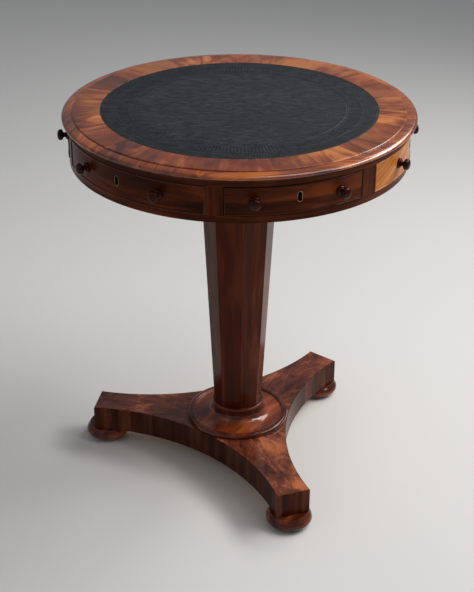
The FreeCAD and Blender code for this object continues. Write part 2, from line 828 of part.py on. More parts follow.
def drawer_pieces(name, turn):
    """A bow-fronted drawer, built facing -Y and then turned to its place round the drum."""
    half_angle = cell("drawer_half_angle")
    panel_low = front_low + cell("panel_rise")
    panel_high = panel_low + cell("panel_thickness")
    side_high = front_high
    tail_radius = front_back_radius + cell("dovetail_length")

    panel_half = side_inner + cell("groove_depth")
    panel_disc = many_sided_disc(f"{name}_panel_disc", front_back_radius + cell("groove_depth"),
                                 cell("inner_sides"), panel_low - overrun, panel_high + overrun)
    panel = common(
        f"{name}_panel",
        board(f"{name}_panel_board", -panel_half, panel_half, -frieze_radius, -drawer_back, panel_low,
              panel_high),
        panel_disc,
    )
    finish(f"{name}_drawer_bottom", panel, turn=turn)

    back_front = -drawer_back - cell("back_thickness")
    back_high = side_high - cell("back_top_drop")
    back_blank = board(f"{name}_back_blank", -side_outer, side_outer, back_front, -drawer_back,
                       panel_high, back_high)

    sides = []
    for label, left, right in (("left", -side_outer, -side_inner), ("right", side_inner, side_outer)):
        side_name = f"{name}_{label}_side"
        blank = common(
            f"{side_name}_blank",
            board(f"{side_name}_board", left, right, -frieze_radius, -drawer_back, front_low, side_high),
            many_sided_disc(f"{side_name}_tail_end", tail_radius, cell("inner_sides"), front_low - overrun,
                            side_high + overrun),
        )
        front_pins = cut(
            f"{side_name}_front_pins",
            dovetail_pins(f"{side_name}_front_wedges", left - overrun, right + overrun, -tail_radius,
                          -front_back_radius * cosine(half_angle), front_low, side_high),
            many_sided_disc(f"{side_name}_front_back", front_back_radius, cell("inner_sides"),
                            front_low - 2 * overrun, side_high + 2 * overrun),
        )
        back_pins = common(
            f"{side_name}_back_pins",
            dovetail_pins(f"{side_name}_back_wedges", left - overrun, right + overrun, -drawer_back,
                          back_front, panel_high, back_high),
            back_blank,
        )
        sides.append(cut(side_name, blank, front_pins, back_pins, panel))
    finish(f"{name}_drawer_sides", *sides, turn=turn)
    finish(f"{name}_drawer_back", cut(f"{name}_back_body", back_blank, *sides), turn=turn)

    bead = bead_frame(f"{name}_bead_frame", half_angle, front_low, front_high, cell("bead_proud"))
    finish(f"{name}_drawer_cockbead", bead, turn=turn)

    lock_blank = lock_pieces(name, turn)
    blank = sawn_board(f"{name}_front_blank", frieze_radius, front_back_radius, front_low, front_high,
                       half_angle)
    rebate = bead_frame(f"{name}_bead_rebate", half_angle, front_low, front_high, overrun)
    knobs, holes = knobs_and_holes(name, cell("knob_angle"))
    key_hole = keyhole(f"{name}_keyhole", -lock_front)
    front = cut(f"{name}_front_body", blank, rebate, *sides, panel, lock_blank, *holes, seat_tool, key_hole)
    finish(f"{name}_drawer_front", front, turn=turn)
    finish(f"{name}_drawer_knobs", *knobs, turn=turn)
    finish(f"{name}_drawer_escutcheon", escutcheon_tool, turn=turn)


def knobs_and_holes(name, angle):
    """The two knobs of a front and the holes for their spigots, at an angle to each side of its middle."""
    knobs = []
    holes = []
    for side, turn in (("left", -angle), ("right", angle)):
        knobs.append(placed(f"{name}_knob_{side}", knob_tool, turn=turn))
        holes.append(placed(f"{name}_hole_{side}", hole_tool, turn=turn))
    return knobs, holes


def false_front_pieces():
    """The three wide fronts that don't open, with the same beads, knobs and escutcheons as the drawers."""
    beads = []
    knobs = []
    escutcheons = []
    for name, turn in (("right", SIXTH_TURN), ("back", HALF_TURN), ("left", -SIXTH_TURN)):
        label = f"{name}_false"
        blank = sawn_board(f"{label}_blank", frieze_radius, front_back_radius, opening_low, opening_high,
                           false_half_angle)
        rebate = bead_frame(f"{label}_rebate", false_half_angle, opening_low, opening_high, overrun)
        front_knobs, holes = knobs_and_holes(label, cell("false_knob_angle"))
        key_hole = keyhole(f"{label}_keyhole", frieze_radius - 2 * cell("escutcheon_depth"))
        front = cut(f"{label}_body", blank, rebate, *holes, seat_tool, key_hole)
        finish(f"{name}_false_front", front, turn=turn)
        bead = bead_frame(f"{label}_bead", false_half_angle, opening_low, opening_high, cell("bead_proud"))
        beads.append(placed(f"{label}_bead_placed", bead, turn=turn))
        knobs.append(placed(f"{label}_knobs_placed", *front_knobs, turn=turn))
        escutcheons.append(placed(f"{label}_escutcheon_placed", escutcheon_tool, turn=turn))
    finish("false_front_cockbeads", *beads)
    finish("false_front_knobs", *knobs)
    finish("false_front_escutcheons", *escutcheons)


def pivot_pieces():
    """The iron pivot: a plate on the pillar, a plate under the drum, and a spindle with its nut."""
    half = cell("pivot_plate_width") / 2
    thickness = cell("pivot_plate_thickness")
    finish(
        "pillar_plate",
        cut(
            "pillar_plate_body",
            board("pillar_plate_blank", -half, half, -half, half, plate_gap_low - thickness, plate_gap_low),
            disc("pillar_plate_bore", running_bore, plate_gap_low - thickness - overrun,
                 plate_gap_low + overrun),
        ),
        turn=cell("base_turn_angle") + cell("pillar_turn_angle"),
    )
    finish(
        "drum_plate",
        cut(
            "drum_plate_body",
            board("drum_plate_blank", -half, half, -half, half, frieze_low, frieze_low + thickness),
            disc("drum_plate_bore", running_bore, frieze_low - overrun, frieze_low + thickness + overrun),
        ),
    )
    nut_low = nut_seat + cell("pivot_gap")
    nut_high = nut_low + cell("nut_thickness")
    spindle_low = pillar_top - cell("spindle_socket_depth")
    finish("spindle", disc("spindle_rod", cell("spindle_radius"), spindle_low, nut_high))
    nut_half = cell("nut_width") / 2
    blank = board("nut_blank", -nut_half, nut_half, -nut_half, nut_half, nut_low, nut_high)
    bore_radius = cell("spindle_radius") + cell("glue_line")
    bore = disc("nut_bore", bore_radius, nut_low - overrun, nut_high + overrun)
    finish("spindle_nut", cut("nut_body", blank, bore))


def frustum(name, low_half, high_half, low, high):
    """A square post about the table's axis whose width changes from its foot to its head."""
    item = doc.addObject("Part::Wedge", name)
    bind(item, Xmin=-low_half, Xmax=low_half, X2min=-high_half, X2max=high_half, Ymin=low, Ymax=high)
    bind(item, Zmin=-low_half, Zmax=low_half, Z2min=-high_half, Z2max=high_half)
    item.Placement.Rotation = FreeCAD.Rotation(Vector(1, 0, 0), QUARTER_TURN)
    return item


def pillar_piece():
    """The octagonal pillar, wider at its head, with an eight-sided tenon below and a seat for the pivot
    above. Two square posts, one turned an eighth of a turn, share the octagon."""
    flat_share = cosine(EIGHTH_TURN / 2)
    foot_half = cell("pillar_foot_radius") * flat_share
    head_half = cell("pillar_head_radius") * flat_share
    foot_high = cell("pillar_foot_height")
    square = frustum("pillar_square", foot_half, head_half, foot_high, pillar_top)
    second_square = frustum("pillar_second_square", foot_half, head_half, foot_high, pillar_top)
    crossed = placed("pillar_crossed", second_square, turn=EIGHTH_TURN)
    shaft = common("pillar_shaft", square, crossed)
    tenon = many_sided_disc("pillar_tenon", cell("tenon_radius") * flat_share, EIGHT_SIDES, platform_low,
                            foot_high + cell("glue_line"))
    tenon = placed("pillar_tenon_turned", tenon, turn=EIGHTH_TURN / 2)

    socket_low = pillar_top - cell("spindle_socket_depth") - cell("glue_line")
    socket_radius = cell("spindle_radius") + cell("glue_line")
    socket = disc("spindle_socket", socket_radius, socket_low, pillar_top + overrun)
    half = cell("pivot_plate_width") / 2 + cell("glue_line")
    seat_low = pillar_top - cell("pivot_plate_thickness") + cell("pivot_gap")
    seat = board("plate_seat", -half, half, -half, half, seat_low, pillar_top + overrun)
    body = cut("pillar_body", join("pillar_blank", shaft, tenon), socket, seat)
    turned_body = placed("pillar_turned", body, turn=cell("pillar_turn_angle"))
    turn = cell("base_turn_angle")
    finish("pillar", cut("pillar_wedged", turned_body, tenon_wedge("tenon_saw_cut")), turn=turn)
    finish("tenon_wedge", tenon_wedge("tenon_wedge_block"), turn=turn)


def tenon_wedge(name):
    """The wedge that spreads the tenon from below, thick at the platform's underside and thin at its tip."""
    body = new_body(name)
    sketch = new_sketch(body, f"{name}_outline", "XZ_Plane")
    thick = cell("wedge_thickness") / 2
    tip = cell("wedge_tip") / 2
    high = platform_low + cell("wedge_length")
    draw_outline(sketch, [(-thick, platform_low), (thick, platform_low), (tip, high), (-tip, high)])
    length = 2 * (cell("tenon_radius") - cell("wedge_thickness"))
    pad(body, f"{name}_pad", sketch, length)
    return place(body, y=length / 2)


def base_pieces():
    """The three-armed platform, its bun feet and the turned collar round the pillar's foot."""
    turn = cell("base_turn_angle")
    reach = cell("platform_reach")
    half = cell("platform_end_width") / 2
    side_middle = reach * cosine(SIXTH_TURN) + half * sine(SIXTH_TURN)
    sag = side_middle - cell("platform_waist_radius")
    corners = []
    for index in range(SIDES):
        angle = index * THIRD_TURN
        across = (cosine(angle), sine(angle))
        along = (sine(angle), -cosine(angle))
        near = [reach * along[axis] - half * across[axis] for axis in (0, 1)]
        far = [reach * along[axis] + half * across[axis] for axis in (0, 1)]
        corners.append((near[0], near[1], sag))
        corners.append((far[0], far[1]))

    body = new_body("platform_body")
    outline = new_sketch(body, "platform_outline", "XY_Plane", platform_low)
    draw_outline(outline, corners)
    pad(body, "platform_slab", outline, cell("platform_thickness"))
    bore = new_sketch(body, "tenon_mortise_outline", "XY_Plane", platform_top)
    mortise_radius = cell("tenon_radius") + cell("glue_line")
    draw_outline(bore, regular_outline(mortise_radius, turn=cell("pillar_turn_angle")))
    pocket(body, "tenon_mortise", bore, cell("platform_thickness") + overrun)
    dowel = new_sketch(body, "dowel_hole_outline", "XY_Plane", platform_low)
    outline = regular_outline(cell("foot_dowel_radius") + cell("glue_line"), middle=-cell("foot_reach"))
    draw_outline(dowel, outline)
    hole = pocket(body, "dowel_hole", dowel, cell("foot_dowel_length") + cell("glue_line"), down=False)
    doc.recompute()
    pattern = body.newObject("PartDesign::PolarPattern", "dowel_holes")
    pattern.Originals = [hole]
    pattern.Axis = (origin_feature(body, "Z_Axis"), [""])
    pattern.Angle = FULL_TURN
    pattern.Occurrences = SIDES
    body.Tip = pattern
    finish("platform", body, turn=turn)

    sole = cell("foot_sole_radius")
    neck = cell("foot_neck_radius")
    dowel_radius = cell("foot_dowel_radius")
    dowel_top = platform_low + cell("foot_dowel_length")
    bulge = cell("foot_radius") - (sole + neck) / 2
    corners = [
        (0, 0),
        (sole, 0),
        *swell((sole, as_size(0)), (neck, platform_low), (bulge, as_size(0)), SWELL_COUNT),
        (0, platform_low),
    ]
    flat_share = cosine(EIGHTH_TURN / 2)
    dowel = many_sided_disc("foot_dowel", dowel_radius * flat_share, EIGHT_SIDES, platform_low - overrun,
                            dowel_top)
    dowel = placed("foot_dowel_turned", dowel, turn=EIGHTH_TURN / 2)
    foot = join("bun_foot", turned("bun_foot_turning", corners), dowel)
    feet = []
    for index in range(SIDES):
        foot_out = placed(f"bun_foot_{index + 1}", foot, y=-cell("foot_reach"))
        feet.append(placed(f"bun_foot_{index + 1}_turned", foot_out, turn=index * THIRD_TURN))
    finish("bun_feet", *feet, turn=turn)

    radius = cell("collar_radius")
    rim_round = cell("collar_rim_round")
    rim_inner = radius - cell("collar_rim_width")
    rim_high = platform_top + cell("collar_rim_height")
    dish_low = rim_high - cell("collar_dish_depth")
    bell = (cell("collar_bell_radius"), dish_low)
    ring = cell("collar_ring_radius")
    collar_high = cell("pillar_foot_height")
    ring_low = collar_high - cell("collar_ring_height")
    corners = [
        (0, platform_top),
        (radius, platform_top),
        (radius, rim_high - rim_round),
        (radius - rim_round, rim_high),
        (rim_inner, rim_high),
        (rim_inner, dish_low),
        bell,
        (cell("collar_neck_radius"), dish_low + cell("collar_bell_height")),
        (cell("collar_neck_radius"), ring_low),
        (ring, ring_low),
        (ring, collar_high),
        (0, collar_high),
    ]
    bore = many_sided_disc("collar_bore", mortise_radius * flat_share, EIGHT_SIDES, platform_top - overrun,
                           collar_high + overrun)
    bore = placed("collar_bore_turned", bore, turn=cell("pillar_turn_angle") + EIGHTH_TURN / 2)
    collar = cut("collar_body", turned("collar_turning", corners), bore)
    finish("base_collar", collar, turn=turn)


knob_tool = knob_solid()
hole_tool = spigot_hole()
escutcheon_tool = escutcheon_solid()
seat_tool = escutcheon_seat()
top_pieces()
moulding_pieces()
frieze_pieces()
inner_pieces()
for drawer, drawer_turn in (("front", 0), ("right", THIRD_TURN), ("left", -THIRD_TURN)):
    drawer_pieces(drawer, drawer_turn)
false_front_pieces()
pivot_pieces()
pillar_piece()
base_pieces()
doc.recompute()

for item in doc.Objects:
    if "Invalid" in item.State or "Error" in item.State:
        raise RuntimeError(f"{item.Name} failed: {item.State}")
for name, item in nodes.items():
    if item.Shape.isNull() or not item.Shape.isValid() or not item.Shape.Solids:
        raise RuntimeError(f"{name} has no valid solid")

os.makedirs("parts", exist_ok=True)
for name, item in nodes.items():
    item.Shape.exportStep(os.path.join("parts", f"{name}.step"))
    print(name, len(item.Shape.Solids), round(item.Shape.Volume))
print(len(nodes), "nodes")
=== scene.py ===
import math

import bmesh
import bpy
from mathutils import Matrix, Vector


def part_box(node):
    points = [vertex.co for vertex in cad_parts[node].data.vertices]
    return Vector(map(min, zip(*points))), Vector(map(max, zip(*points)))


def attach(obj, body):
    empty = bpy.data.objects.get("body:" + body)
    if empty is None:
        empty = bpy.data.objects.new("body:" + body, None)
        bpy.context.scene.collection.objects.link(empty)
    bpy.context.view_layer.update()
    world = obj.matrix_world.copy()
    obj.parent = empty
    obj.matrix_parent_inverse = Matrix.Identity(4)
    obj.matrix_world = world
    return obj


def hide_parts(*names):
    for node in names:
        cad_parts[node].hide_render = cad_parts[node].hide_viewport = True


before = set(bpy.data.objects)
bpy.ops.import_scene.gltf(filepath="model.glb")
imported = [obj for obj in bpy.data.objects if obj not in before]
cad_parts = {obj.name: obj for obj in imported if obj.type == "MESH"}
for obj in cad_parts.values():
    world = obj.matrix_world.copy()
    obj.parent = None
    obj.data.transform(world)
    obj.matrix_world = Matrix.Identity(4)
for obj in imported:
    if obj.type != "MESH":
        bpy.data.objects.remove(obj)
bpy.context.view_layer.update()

MM = 0.001

# Sizes of the table, in metres, read off the frame where a node gives them
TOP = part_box("crossband")[1].z
BOARD_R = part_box("crossband")[1].x
OUTER_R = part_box("edge_moulding")[1].x
LEATHER_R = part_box("leather_inset")[1].x
LEATHER_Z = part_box("leather_inset")[1].z
FRIEZE_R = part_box("upper_rail")[1].x
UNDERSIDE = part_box("upper_rail")[1].z
OPEN_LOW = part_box("lower_rail")[1].z
OPEN_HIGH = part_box("upper_rail")[0].z
FRONT_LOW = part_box("front_drawer_front")[0].z
FRONT_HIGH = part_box("front_drawer_front")[1].z
PLATFORM_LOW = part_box("platform")[0].z
PLATFORM_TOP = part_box("platform")[1].z
COLLAR_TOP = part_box("base_collar")[1].z
PILLAR_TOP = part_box("pillar")[1].z
KNOB_Z = OPEN_LOW + (OPEN_HIGH - OPEN_LOW) / 2 + 0.5 * MM
KEY_Z = KNOB_Z + 2.8 * MM
# How far from the axis the feet stand
FOOT_R = 0.2713

# Angles in degrees: half of a front, a knob from its front's middle, how far the base and the pillar on it
# are turned, and the side that the photograph was taken from
DRAWER_HALF, FALSE_HALF = 23.25, 31.0
DRAWER_KNOB, FALSE_KNOB = 14.1, 15.8
BASE_TURN = 2.2
PILLAR_TURN = 7.5
VIEW_TURN = -18.7

# The real drawers and the middles of their fronts, and the middles of the false fronts between them
DRAWERS = (("front", 0.0), ("right", 120.0), ("left", -120.0))
FALSE_FRONTS = (60.0, 180.0, -60.0)

# Equal pieces round the axis
BAND_PIECES = 24
MOULDING_PIECES = 3
PILLAR_SIDES = 8


def polar(angle, r, z=0.0):
    """The point at an angle from -Y towards +X, in degrees."""
    a = math.radians(angle)
    return Vector((r * math.sin(a), -r * math.cos(a), z))


# Materials

class Tree:
    """A material's node tree, with short ways to add and join nodes."""

    def __init__(self, name):
        self.material = bpy.data.materials.new(name)
        self.material.use_nodes = True
        self.nodes = self.material.node_tree.nodes
        self.links = self.material.node_tree.links
        self.shader = self.nodes["Principled BSDF"]
        self.coords = self.add("ShaderNodeTexCoord").outputs["Object"]

    def add(self, kind, **values):
        node = self.nodes.new(kind)
        for key, value in values.items():
            setattr(node, key, value)
        return node

    def put(self, socket, value):
        if isinstance(value, bpy.types.NodeSocket):
            self.links.new(value, socket)
        else:
            socket.default_value = value

    def math(self, operation, *values):
        node = self.add("ShaderNodeMath", operation=operation)
        for socket, value in zip(node.inputs, values):
            self.put(socket, value)
        return node.outputs[0]

    def split(self, vector):
        node = self.add("ShaderNodeSeparateXYZ")
        self.put(node.inputs[0], vector)
        return node.outputs

    def join(self, *values):
        node = self.add("ShaderNodeCombineXYZ")
        for socket, value in zip(node.inputs, values):
            self.put(socket, value)
        return node.outputs[0]

    def scaled(self, vector, scale, turn=0.0):
        """The coordinates turned about Z by minus an angle in degrees, then scaled."""
        if turn:
            vector = self.mapped(vector, rotation=(0.0, 0.0, -math.radians(turn)))
        return self.mapped(vector, scale=scale)

    def mapped(self, vector, **values):
        node = self.add("ShaderNodeMapping")
        self.put(node.inputs["Vector"], vector)
        for key, value in values.items():
            node.inputs[key.capitalize()].default_value = value
        return node.outputs[0]

    def noise(self, vector, scale=1.0, detail=3.0, roughness=0.5, distortion=0.0):
        node = self.add("ShaderNodeTexNoise")
        self.put(node.inputs["Vector"], vector)
        node.inputs["Scale"].default_value = scale
        node.inputs["Detail"].default_value = detail
        node.inputs["Roughness"].default_value = roughness
        node.inputs["Distortion"].default_value = distortion
        return node.outputs["Fac"]

    def ramp(self, factor, *stops):
        node = self.add("ShaderNodeValToRGB")
        self.put(node.inputs["Fac"], factor)
        ramp = node.color_ramp
        while len(ramp.elements) < len(stops):
            ramp.elements.new(0.5)
        for element, (place, colour) in zip(ramp.elements, stops):
            element.position = place
            element.color = (*colour, 1.0)
        return node.outputs["Color"]

    def mix(self, factor, first, second):
        node = self.add("ShaderNodeMix", data_type="RGBA")
        self.put(node.inputs["Factor"], factor)
        # A mix node's sockets for colours come after those for numbers and vectors
        for socket, value in ((node.inputs[6], first), (node.inputs[7], second)):
            self.put(socket, value if isinstance(value, bpy.types.NodeSocket) else (*value, 1.0))
        return node.outputs[2]

    def span(self, value, low, high, to_low=0.0, to_high=1.0):
        node = self.add("ShaderNodeMapRange")
        self.put(node.inputs["Value"], value)
        limits = {"From Min": low, "From Max": high, "To Min": to_low, "To Max": to_high}
        for key, number in limits.items():
            node.inputs[key].default_value = number
        return node.outputs["Result"]

    def bump(self, height, strength, distance):
        node = self.add("ShaderNodeBump")
        node.inputs["Strength"].default_value = strength
        node.inputs["Distance"].default_value = distance
        self.put(node.inputs["Height"], height)
        self.put(self.shader.inputs["Normal"], node.outputs["Normal"])

    def surface(self, **values):
        for key, value in values.items():
            self.put(self.shader.inputs[key.replace("_", " ")], value)


def srgb(*levels):
    """A colour given as it looks, 0 to 255, in the linear values that a shader takes."""
    return tuple(((c / 255 + 0.055) / 1.055) ** 2.4 if c > 10 else c / 255 / 12.92 for c in levels)


def grain_vector(tree, run, turn, along):
    """Coordinates that change slowly along the grain and fast across it. Each run of the grain belongs to how
    the piece was cut: "ring" round the drum, "up" along Z, "out" away from the axis, "slant" up and across a
    front, "x" or "y" along a board."""
    slow, fast = 7.0 * along, 90.0
    if run in ("ring", "out"):
        x, y, z = tree.split(tree.coords)
        squares = tree.math("ADD", tree.math("MULTIPLY", x, x), tree.math("MULTIPLY", y, y))
        reach = tree.math("SQRT", squares)
        if run == "ring":
            level = tree.math("SUBTRACT", tree.math("MULTIPLY", z, fast),
                              tree.math("MULTIPLY", reach, fast * 0.8))
            return tree.join(tree.math("MULTIPLY", x, slow), tree.math("MULTIPLY", y, slow), level)
        around = [tree.math("MULTIPLY", tree.math("DIVIDE", way, reach), fast * 0.15) for way in (x, y)]
        return tree.join(*around, tree.math("MULTIPLY", reach, slow * 2.0))
    if run == "slant":
        lean = -math.radians(66.0)
        turned = tree.mapped(tree.coords, rotation=(0.0, 0.0, -math.radians(turn)))
        return tree.mapped(tree.mapped(turned, rotation=(0.0, lean, 0.0)), scale=(fast * 2.2, slow, slow))
    scale = {"up": (fast, fast, slow), "x": (slow, fast, fast), "y": (fast, slow, fast)}[run]
    return tree.scaled(tree.coords, scale, turn)


def wood(name, dark, mid, light, run="x", turn=0.0, along=1.0, figure=0.35, fine=0.35, pieces=0, tones=0.7,
         shine=0.22, gleam=0.14, coat=0.1, gloss=0.12, coat_ior=1.5):
    """Polished or plain wood: broad bands along the grain, fine fibres and short dark pores over them. The
    grain runs as run, turn and along say. Figure is how far it wavers, and fine the share of the fibres.
    Pieces is how many equal pieces go round the axis, each of its own tone, and tones how far they differ.
    Shine and gleam are the bare wood's roughness and reflection; coat, gloss and coat_ior are the weight,
    roughness and IOR of the polish."""
    tree = Tree(name)
    vector = grain_vector(tree, run, turn, along)
    if pieces:
        # Each piece is cut from another place in the grain
        number = piece_number(tree, pieces, turn)
        moved_grain = tree.add("ShaderNodeVectorMath", operation="ADD")
        tree.put(moved_grain.inputs[0], vector)
        tree.put(moved_grain.inputs[1], tree.join(0.0, 0.0, tree.math("MULTIPLY", number, 3.7)))
        vector = moved_grain.outputs[0]
    broad = tree.noise(vector, scale=0.55, detail=2.5, roughness=0.55, distortion=1.2 * figure)
    fibre = tree.noise(vector, scale=4.5, detail=4.0, roughness=0.65)
    cloud = tree.noise(tree.coords, scale=9.0, detail=2.0)
    fibre_share = fine * 0.6
    mixed = tree.math("ADD", tree.math("MULTIPLY", broad, 1.0 - fibre_share),
                      tree.math("MULTIPLY", fibre, fibre_share))
    drift = tree.math("MULTIPLY", tree.math("SUBTRACT", cloud, 0.5), figure * 0.7)
    colour = tree.ramp(tree.math("ADD", mixed, drift), (0.30, dark), (0.50, mid), (0.70, light))
    if pieces:
        # One chance makes a piece darker. Another, drawn for a number far from its own, makes it redder
        darker, redder = tuple(c * 0.42 for c in mid), (mid[0] * 0.95, mid[1] * 0.55, mid[2] * 0.5)
        chance, other = piece_chance(tree, number), piece_chance(tree, tree.math("ADD", number, 51.0))
        colour = tree.mix(tree.span(chance, 0.0, 1.0, 0.0, tones), colour, darker)
        colour = tree.mix(tree.span(other, 0.2, 1.0, 0.0, 0.4), colour, redder)
    dark_pore = tree.span(tree.noise(vector, scale=16.0, detail=1.0, roughness=0.3), 0.66, 0.74)
    colour = tree.mix(tree.math("MULTIPLY", dark_pore, 0.45), colour, tuple(c * 0.3 for c in dark))
    tree.surface(Base_Color=colour, Roughness=tree.span(fibre, 0.3, 0.7, shine * 0.85, shine * 1.25),
                 Specular_IOR_Level=gleam, Coat_Weight=coat, Coat_Roughness=gloss, Coat_IOR=coat_ior)
    # The pores of polished wood are nearly filled
    relief = 0.03 if shine < 0.3 else 0.12
    tree.bump(tree.math("SUBTRACT", fibre, dark_pore), relief, 0.3 * MM)
    return tree.material


def piece_number(tree, pieces, turn):
    """Which of the equal pieces round the axis a point lies on; the first is centred at an angle from -Y."""
    x, y, _ = tree.split(tree.coords)
    angle = tree.math("ARCTAN2", x, tree.math("MULTIPLY", y, -1.0))
    steps = tree.math("ADD", tree.math("MULTIPLY", angle, pieces / math.tau), 0.5 - turn * pieces / 360.0)
    return tree.math("FLOORED_MODULO", tree.math("FLOOR", steps), float(pieces))


def piece_chance(tree, number):
    """A value from 0 to 1 that belongs to a piece's number."""
    node = tree.add("ShaderNodeTexWhiteNoise", noise_dimensions="1D")
    tree.put(node.inputs["W"], number)
    return node.outputs["Value"]


def metal(name, colour, tarnish, roughness):
    """Metal with a patchy tarnish and fine scratches."""
    tree = Tree(name)
    patch = tree.noise(tree.coords, scale=160.0, detail=4.0, roughness=0.6)
    scratch = tree.noise(tree.scaled(tree.coords, (60.0, 900.0, 900.0)), scale=1.0, detail=2.0)
    tree.surface(Base_Color=tree.mix(tree.span(patch, 0.42, 0.68), colour, tarnish), Metallic=1.0,
                 Roughness=tree.span(patch, 0.3, 0.7, roughness, roughness * 1.7))
    tree.bump(scratch, 0.15, 0.1 * MM)
    return tree.material


def hide(name, dark, mid, light, roughness, gleam):
    """Dark hide with fine creases that run across it, pores and a soft, uneven sheen."""
    tree = Tree(name)
    crease = tree.noise(tree.scaled(tree.coords, (52.0, 230.0, 60.0), VIEW_TURN), scale=1.0, detail=4.0,
                        roughness=0.55, distortion=1.0)
    cloud = tree.noise(tree.coords, scale=7.0, detail=3.0, roughness=0.6)
    grain = tree.add("ShaderNodeTexVoronoi", feature="DISTANCE_TO_EDGE")
    tree.put(grain.inputs["Vector"], tree.coords)
    grain.inputs["Scale"].default_value = 620.0
    pits = tree.span(grain.outputs["Distance"], 0.0, 0.22)
    colour = tree.ramp(crease, (0.40, dark), (0.5, mid), (0.61, light))
    colour = tree.mix(tree.span(cloud, 0.35, 0.7, 0.0, 0.4), colour, dark)
    sheen = tree.span(cloud, 0.3, 0.7, roughness * 1.15, roughness * 0.9)
    tree.surface(Base_Color=colour, Roughness=sheen, Specular_IOR_Level=gleam)
    tree.bump(tree.math("ADD", crease, tree.math("MULTIPLY", pits, 0.12)), 0.4, 0.9 * MM)
    return tree.material


MATERIALS = {}


def material(name, build, *values, **named):
    """A material made once and used again under its name."""
    if name not in MATERIALS:
        MATERIALS[name] = build(name, *values, **named)
    return MATERIALS[name]


def shades(*triples):
    """The dark, middle and light colour of a wood or a hide."""
    return [srgb(*triple) for triple in triples]


FRIEZE = shades((44, 15, 5), (78, 32, 11), (122, 57, 22))
# The right false front's veneer: its slanted grain is its own, its lighter colour is painted light where it
# faces the lamps
FALSE_FRONT_PAINTED_LIT = shades((150, 78, 26), (204, 124, 54), (240, 182, 104))
BEAD = shades((40, 16, 9), (66, 29, 15), (92, 44, 24))
FALSE_BEAD = shades((50, 21, 10), (82, 37, 18), (112, 56, 30))
# The right false front's bead, painted lighter as painted light from the lamps
BEAD_PAINTED_LIT = shades((120, 60, 26), (172, 98, 46), (208, 136, 72))
CROSSBAND = shades((76, 27, 9), (146, 68, 27), (216, 130, 64))
MOULDING = shades((76, 26, 6), (138, 60, 14), (200, 108, 34))
PILLAR = shades((54, 20, 9), (86, 37, 17), (126, 61, 31))
PLATFORM = shades((62, 26, 19), (112, 56, 39), (196, 112, 68))
# The platform's sides: their upright grain is their own, their darker colour is painted shade
PLATFORM_SIDE_SHADED = shades((38, 14, 8), (70, 31, 18), (108, 56, 32))
TURNED = shades((74, 25, 11), (126, 56, 27), (174, 90, 46))
TURNED_DARK = shades((50, 16, 8), (88, 36, 18), (132, 66, 36))
FOOT = shades((46, 16, 8), (96, 40, 22), (146, 74, 42))
KNOB = shades((30, 5, 3), (50, 10, 7), (76, 20, 12))
OAK = shades((142, 104, 62), (176, 136, 88), (200, 164, 116))
PINE = shades((150, 108, 66), (184, 142, 94), (206, 168, 120))
LEATHER = shades((27, 30, 34), (39, 43, 48), (56, 62, 68))
LEATHER_TOOLED = shades((14, 16, 19), (22, 25, 29), (34, 39, 43))

# What several woods share: a rubbed finish, a full polish, and the grain of turned work
RUBBED = {"coat": 0.05, "gleam": 0.06}
POLISHED = {"shine": 0.2, "gloss": 0.17}
LATHE = {"run": "x", "turn": 35.0, "figure": 0.4}


def oak(turn, run="y"):
    return material(f"drawer_lining_oak_{run}_{int(turn) % 360}", wood, *OAK, run=run, turn=turn, shine=0.5,
                    coat=0.0, figure=0.2)


def pine(run):
    return material(f"carcase_pine_{run}_0", wood, *PINE, run=run, shine=0.6, coat=0.0, figure=0.3)


frieze_ring = material("frieze_mahogany_ring", wood, *FRIEZE, run="ring", figure=0.5, **RUBBED)
frieze_up = material("frieze_mahogany_up", wood, *FRIEZE, run="up", figure=0.3, **RUBBED)
drawer_veneer = material("drawer_veneer", wood, *FRIEZE, run="ring", figure=0.6, along=1.3, **RUBBED)
# Painted light: the right false front is painted lighter than the other fronts, as lit by the lamps
false_front_painted_lit = material("false_front_veneer_painted_lit", wood, *FALSE_FRONT_PAINTED_LIT, run="slant", turn=60.0, figure=0.06,
                       along=0.35, fine=0.5, gleam=0.08)
bead_wood = material("cockbead_mahogany", wood, *BEAD, run="ring", figure=0.2, coat=0.2, gleam=0.06)
false_bead_wood = material("false_front_cockbead_mahogany", wood, *FALSE_BEAD, run="ring", figure=0.2,
                           coat=0.3)
# Painted light: the right false front's bead is painted lighter than the other beads
bead_painted_lit = material("cockbead_mahogany_painted_lit", wood, *BEAD_PAINTED_LIT, run="ring", figure=0.2, coat=0.5)
knob_wood = material("knob_mahogany", wood, *KNOB, run="ring", figure=0.3, shine=0.14, coat=0.3, gloss=0.06,
                     gleam=0.05)
crossband_wood = material("crossband_veneer", wood, *CROSSBAND, run="out", figure=1.6, fine=0.22,
                          pieces=BAND_PIECES, coat=0.75, coat_ior=1.6, **POLISHED)
moulding_woods = [material(f"moulding_mahogany_{index + 1}", wood, *MOULDING, run="x",
                           turn=360.0 / MOULDING_PIECES * index - 8.0, figure=0.9, along=1.6, coat=0.9,
                           coat_ior=1.8, **POLISHED) for index in range(MOULDING_PIECES)]
pillar_wood = material("pillar_mahogany", wood, *PILLAR, run="up", turn=BASE_TURN + PILLAR_TURN,
                       pieces=PILLAR_SIDES, figure=0.4, fine=0.25, tones=0.4, coat=0.1, gleam=0.06)
flame_wood = material("platform_veneer_flame", wood, *PLATFORM, run="out", figure=1.1, along=2.2, fine=0.6,
                      coat=0.65)
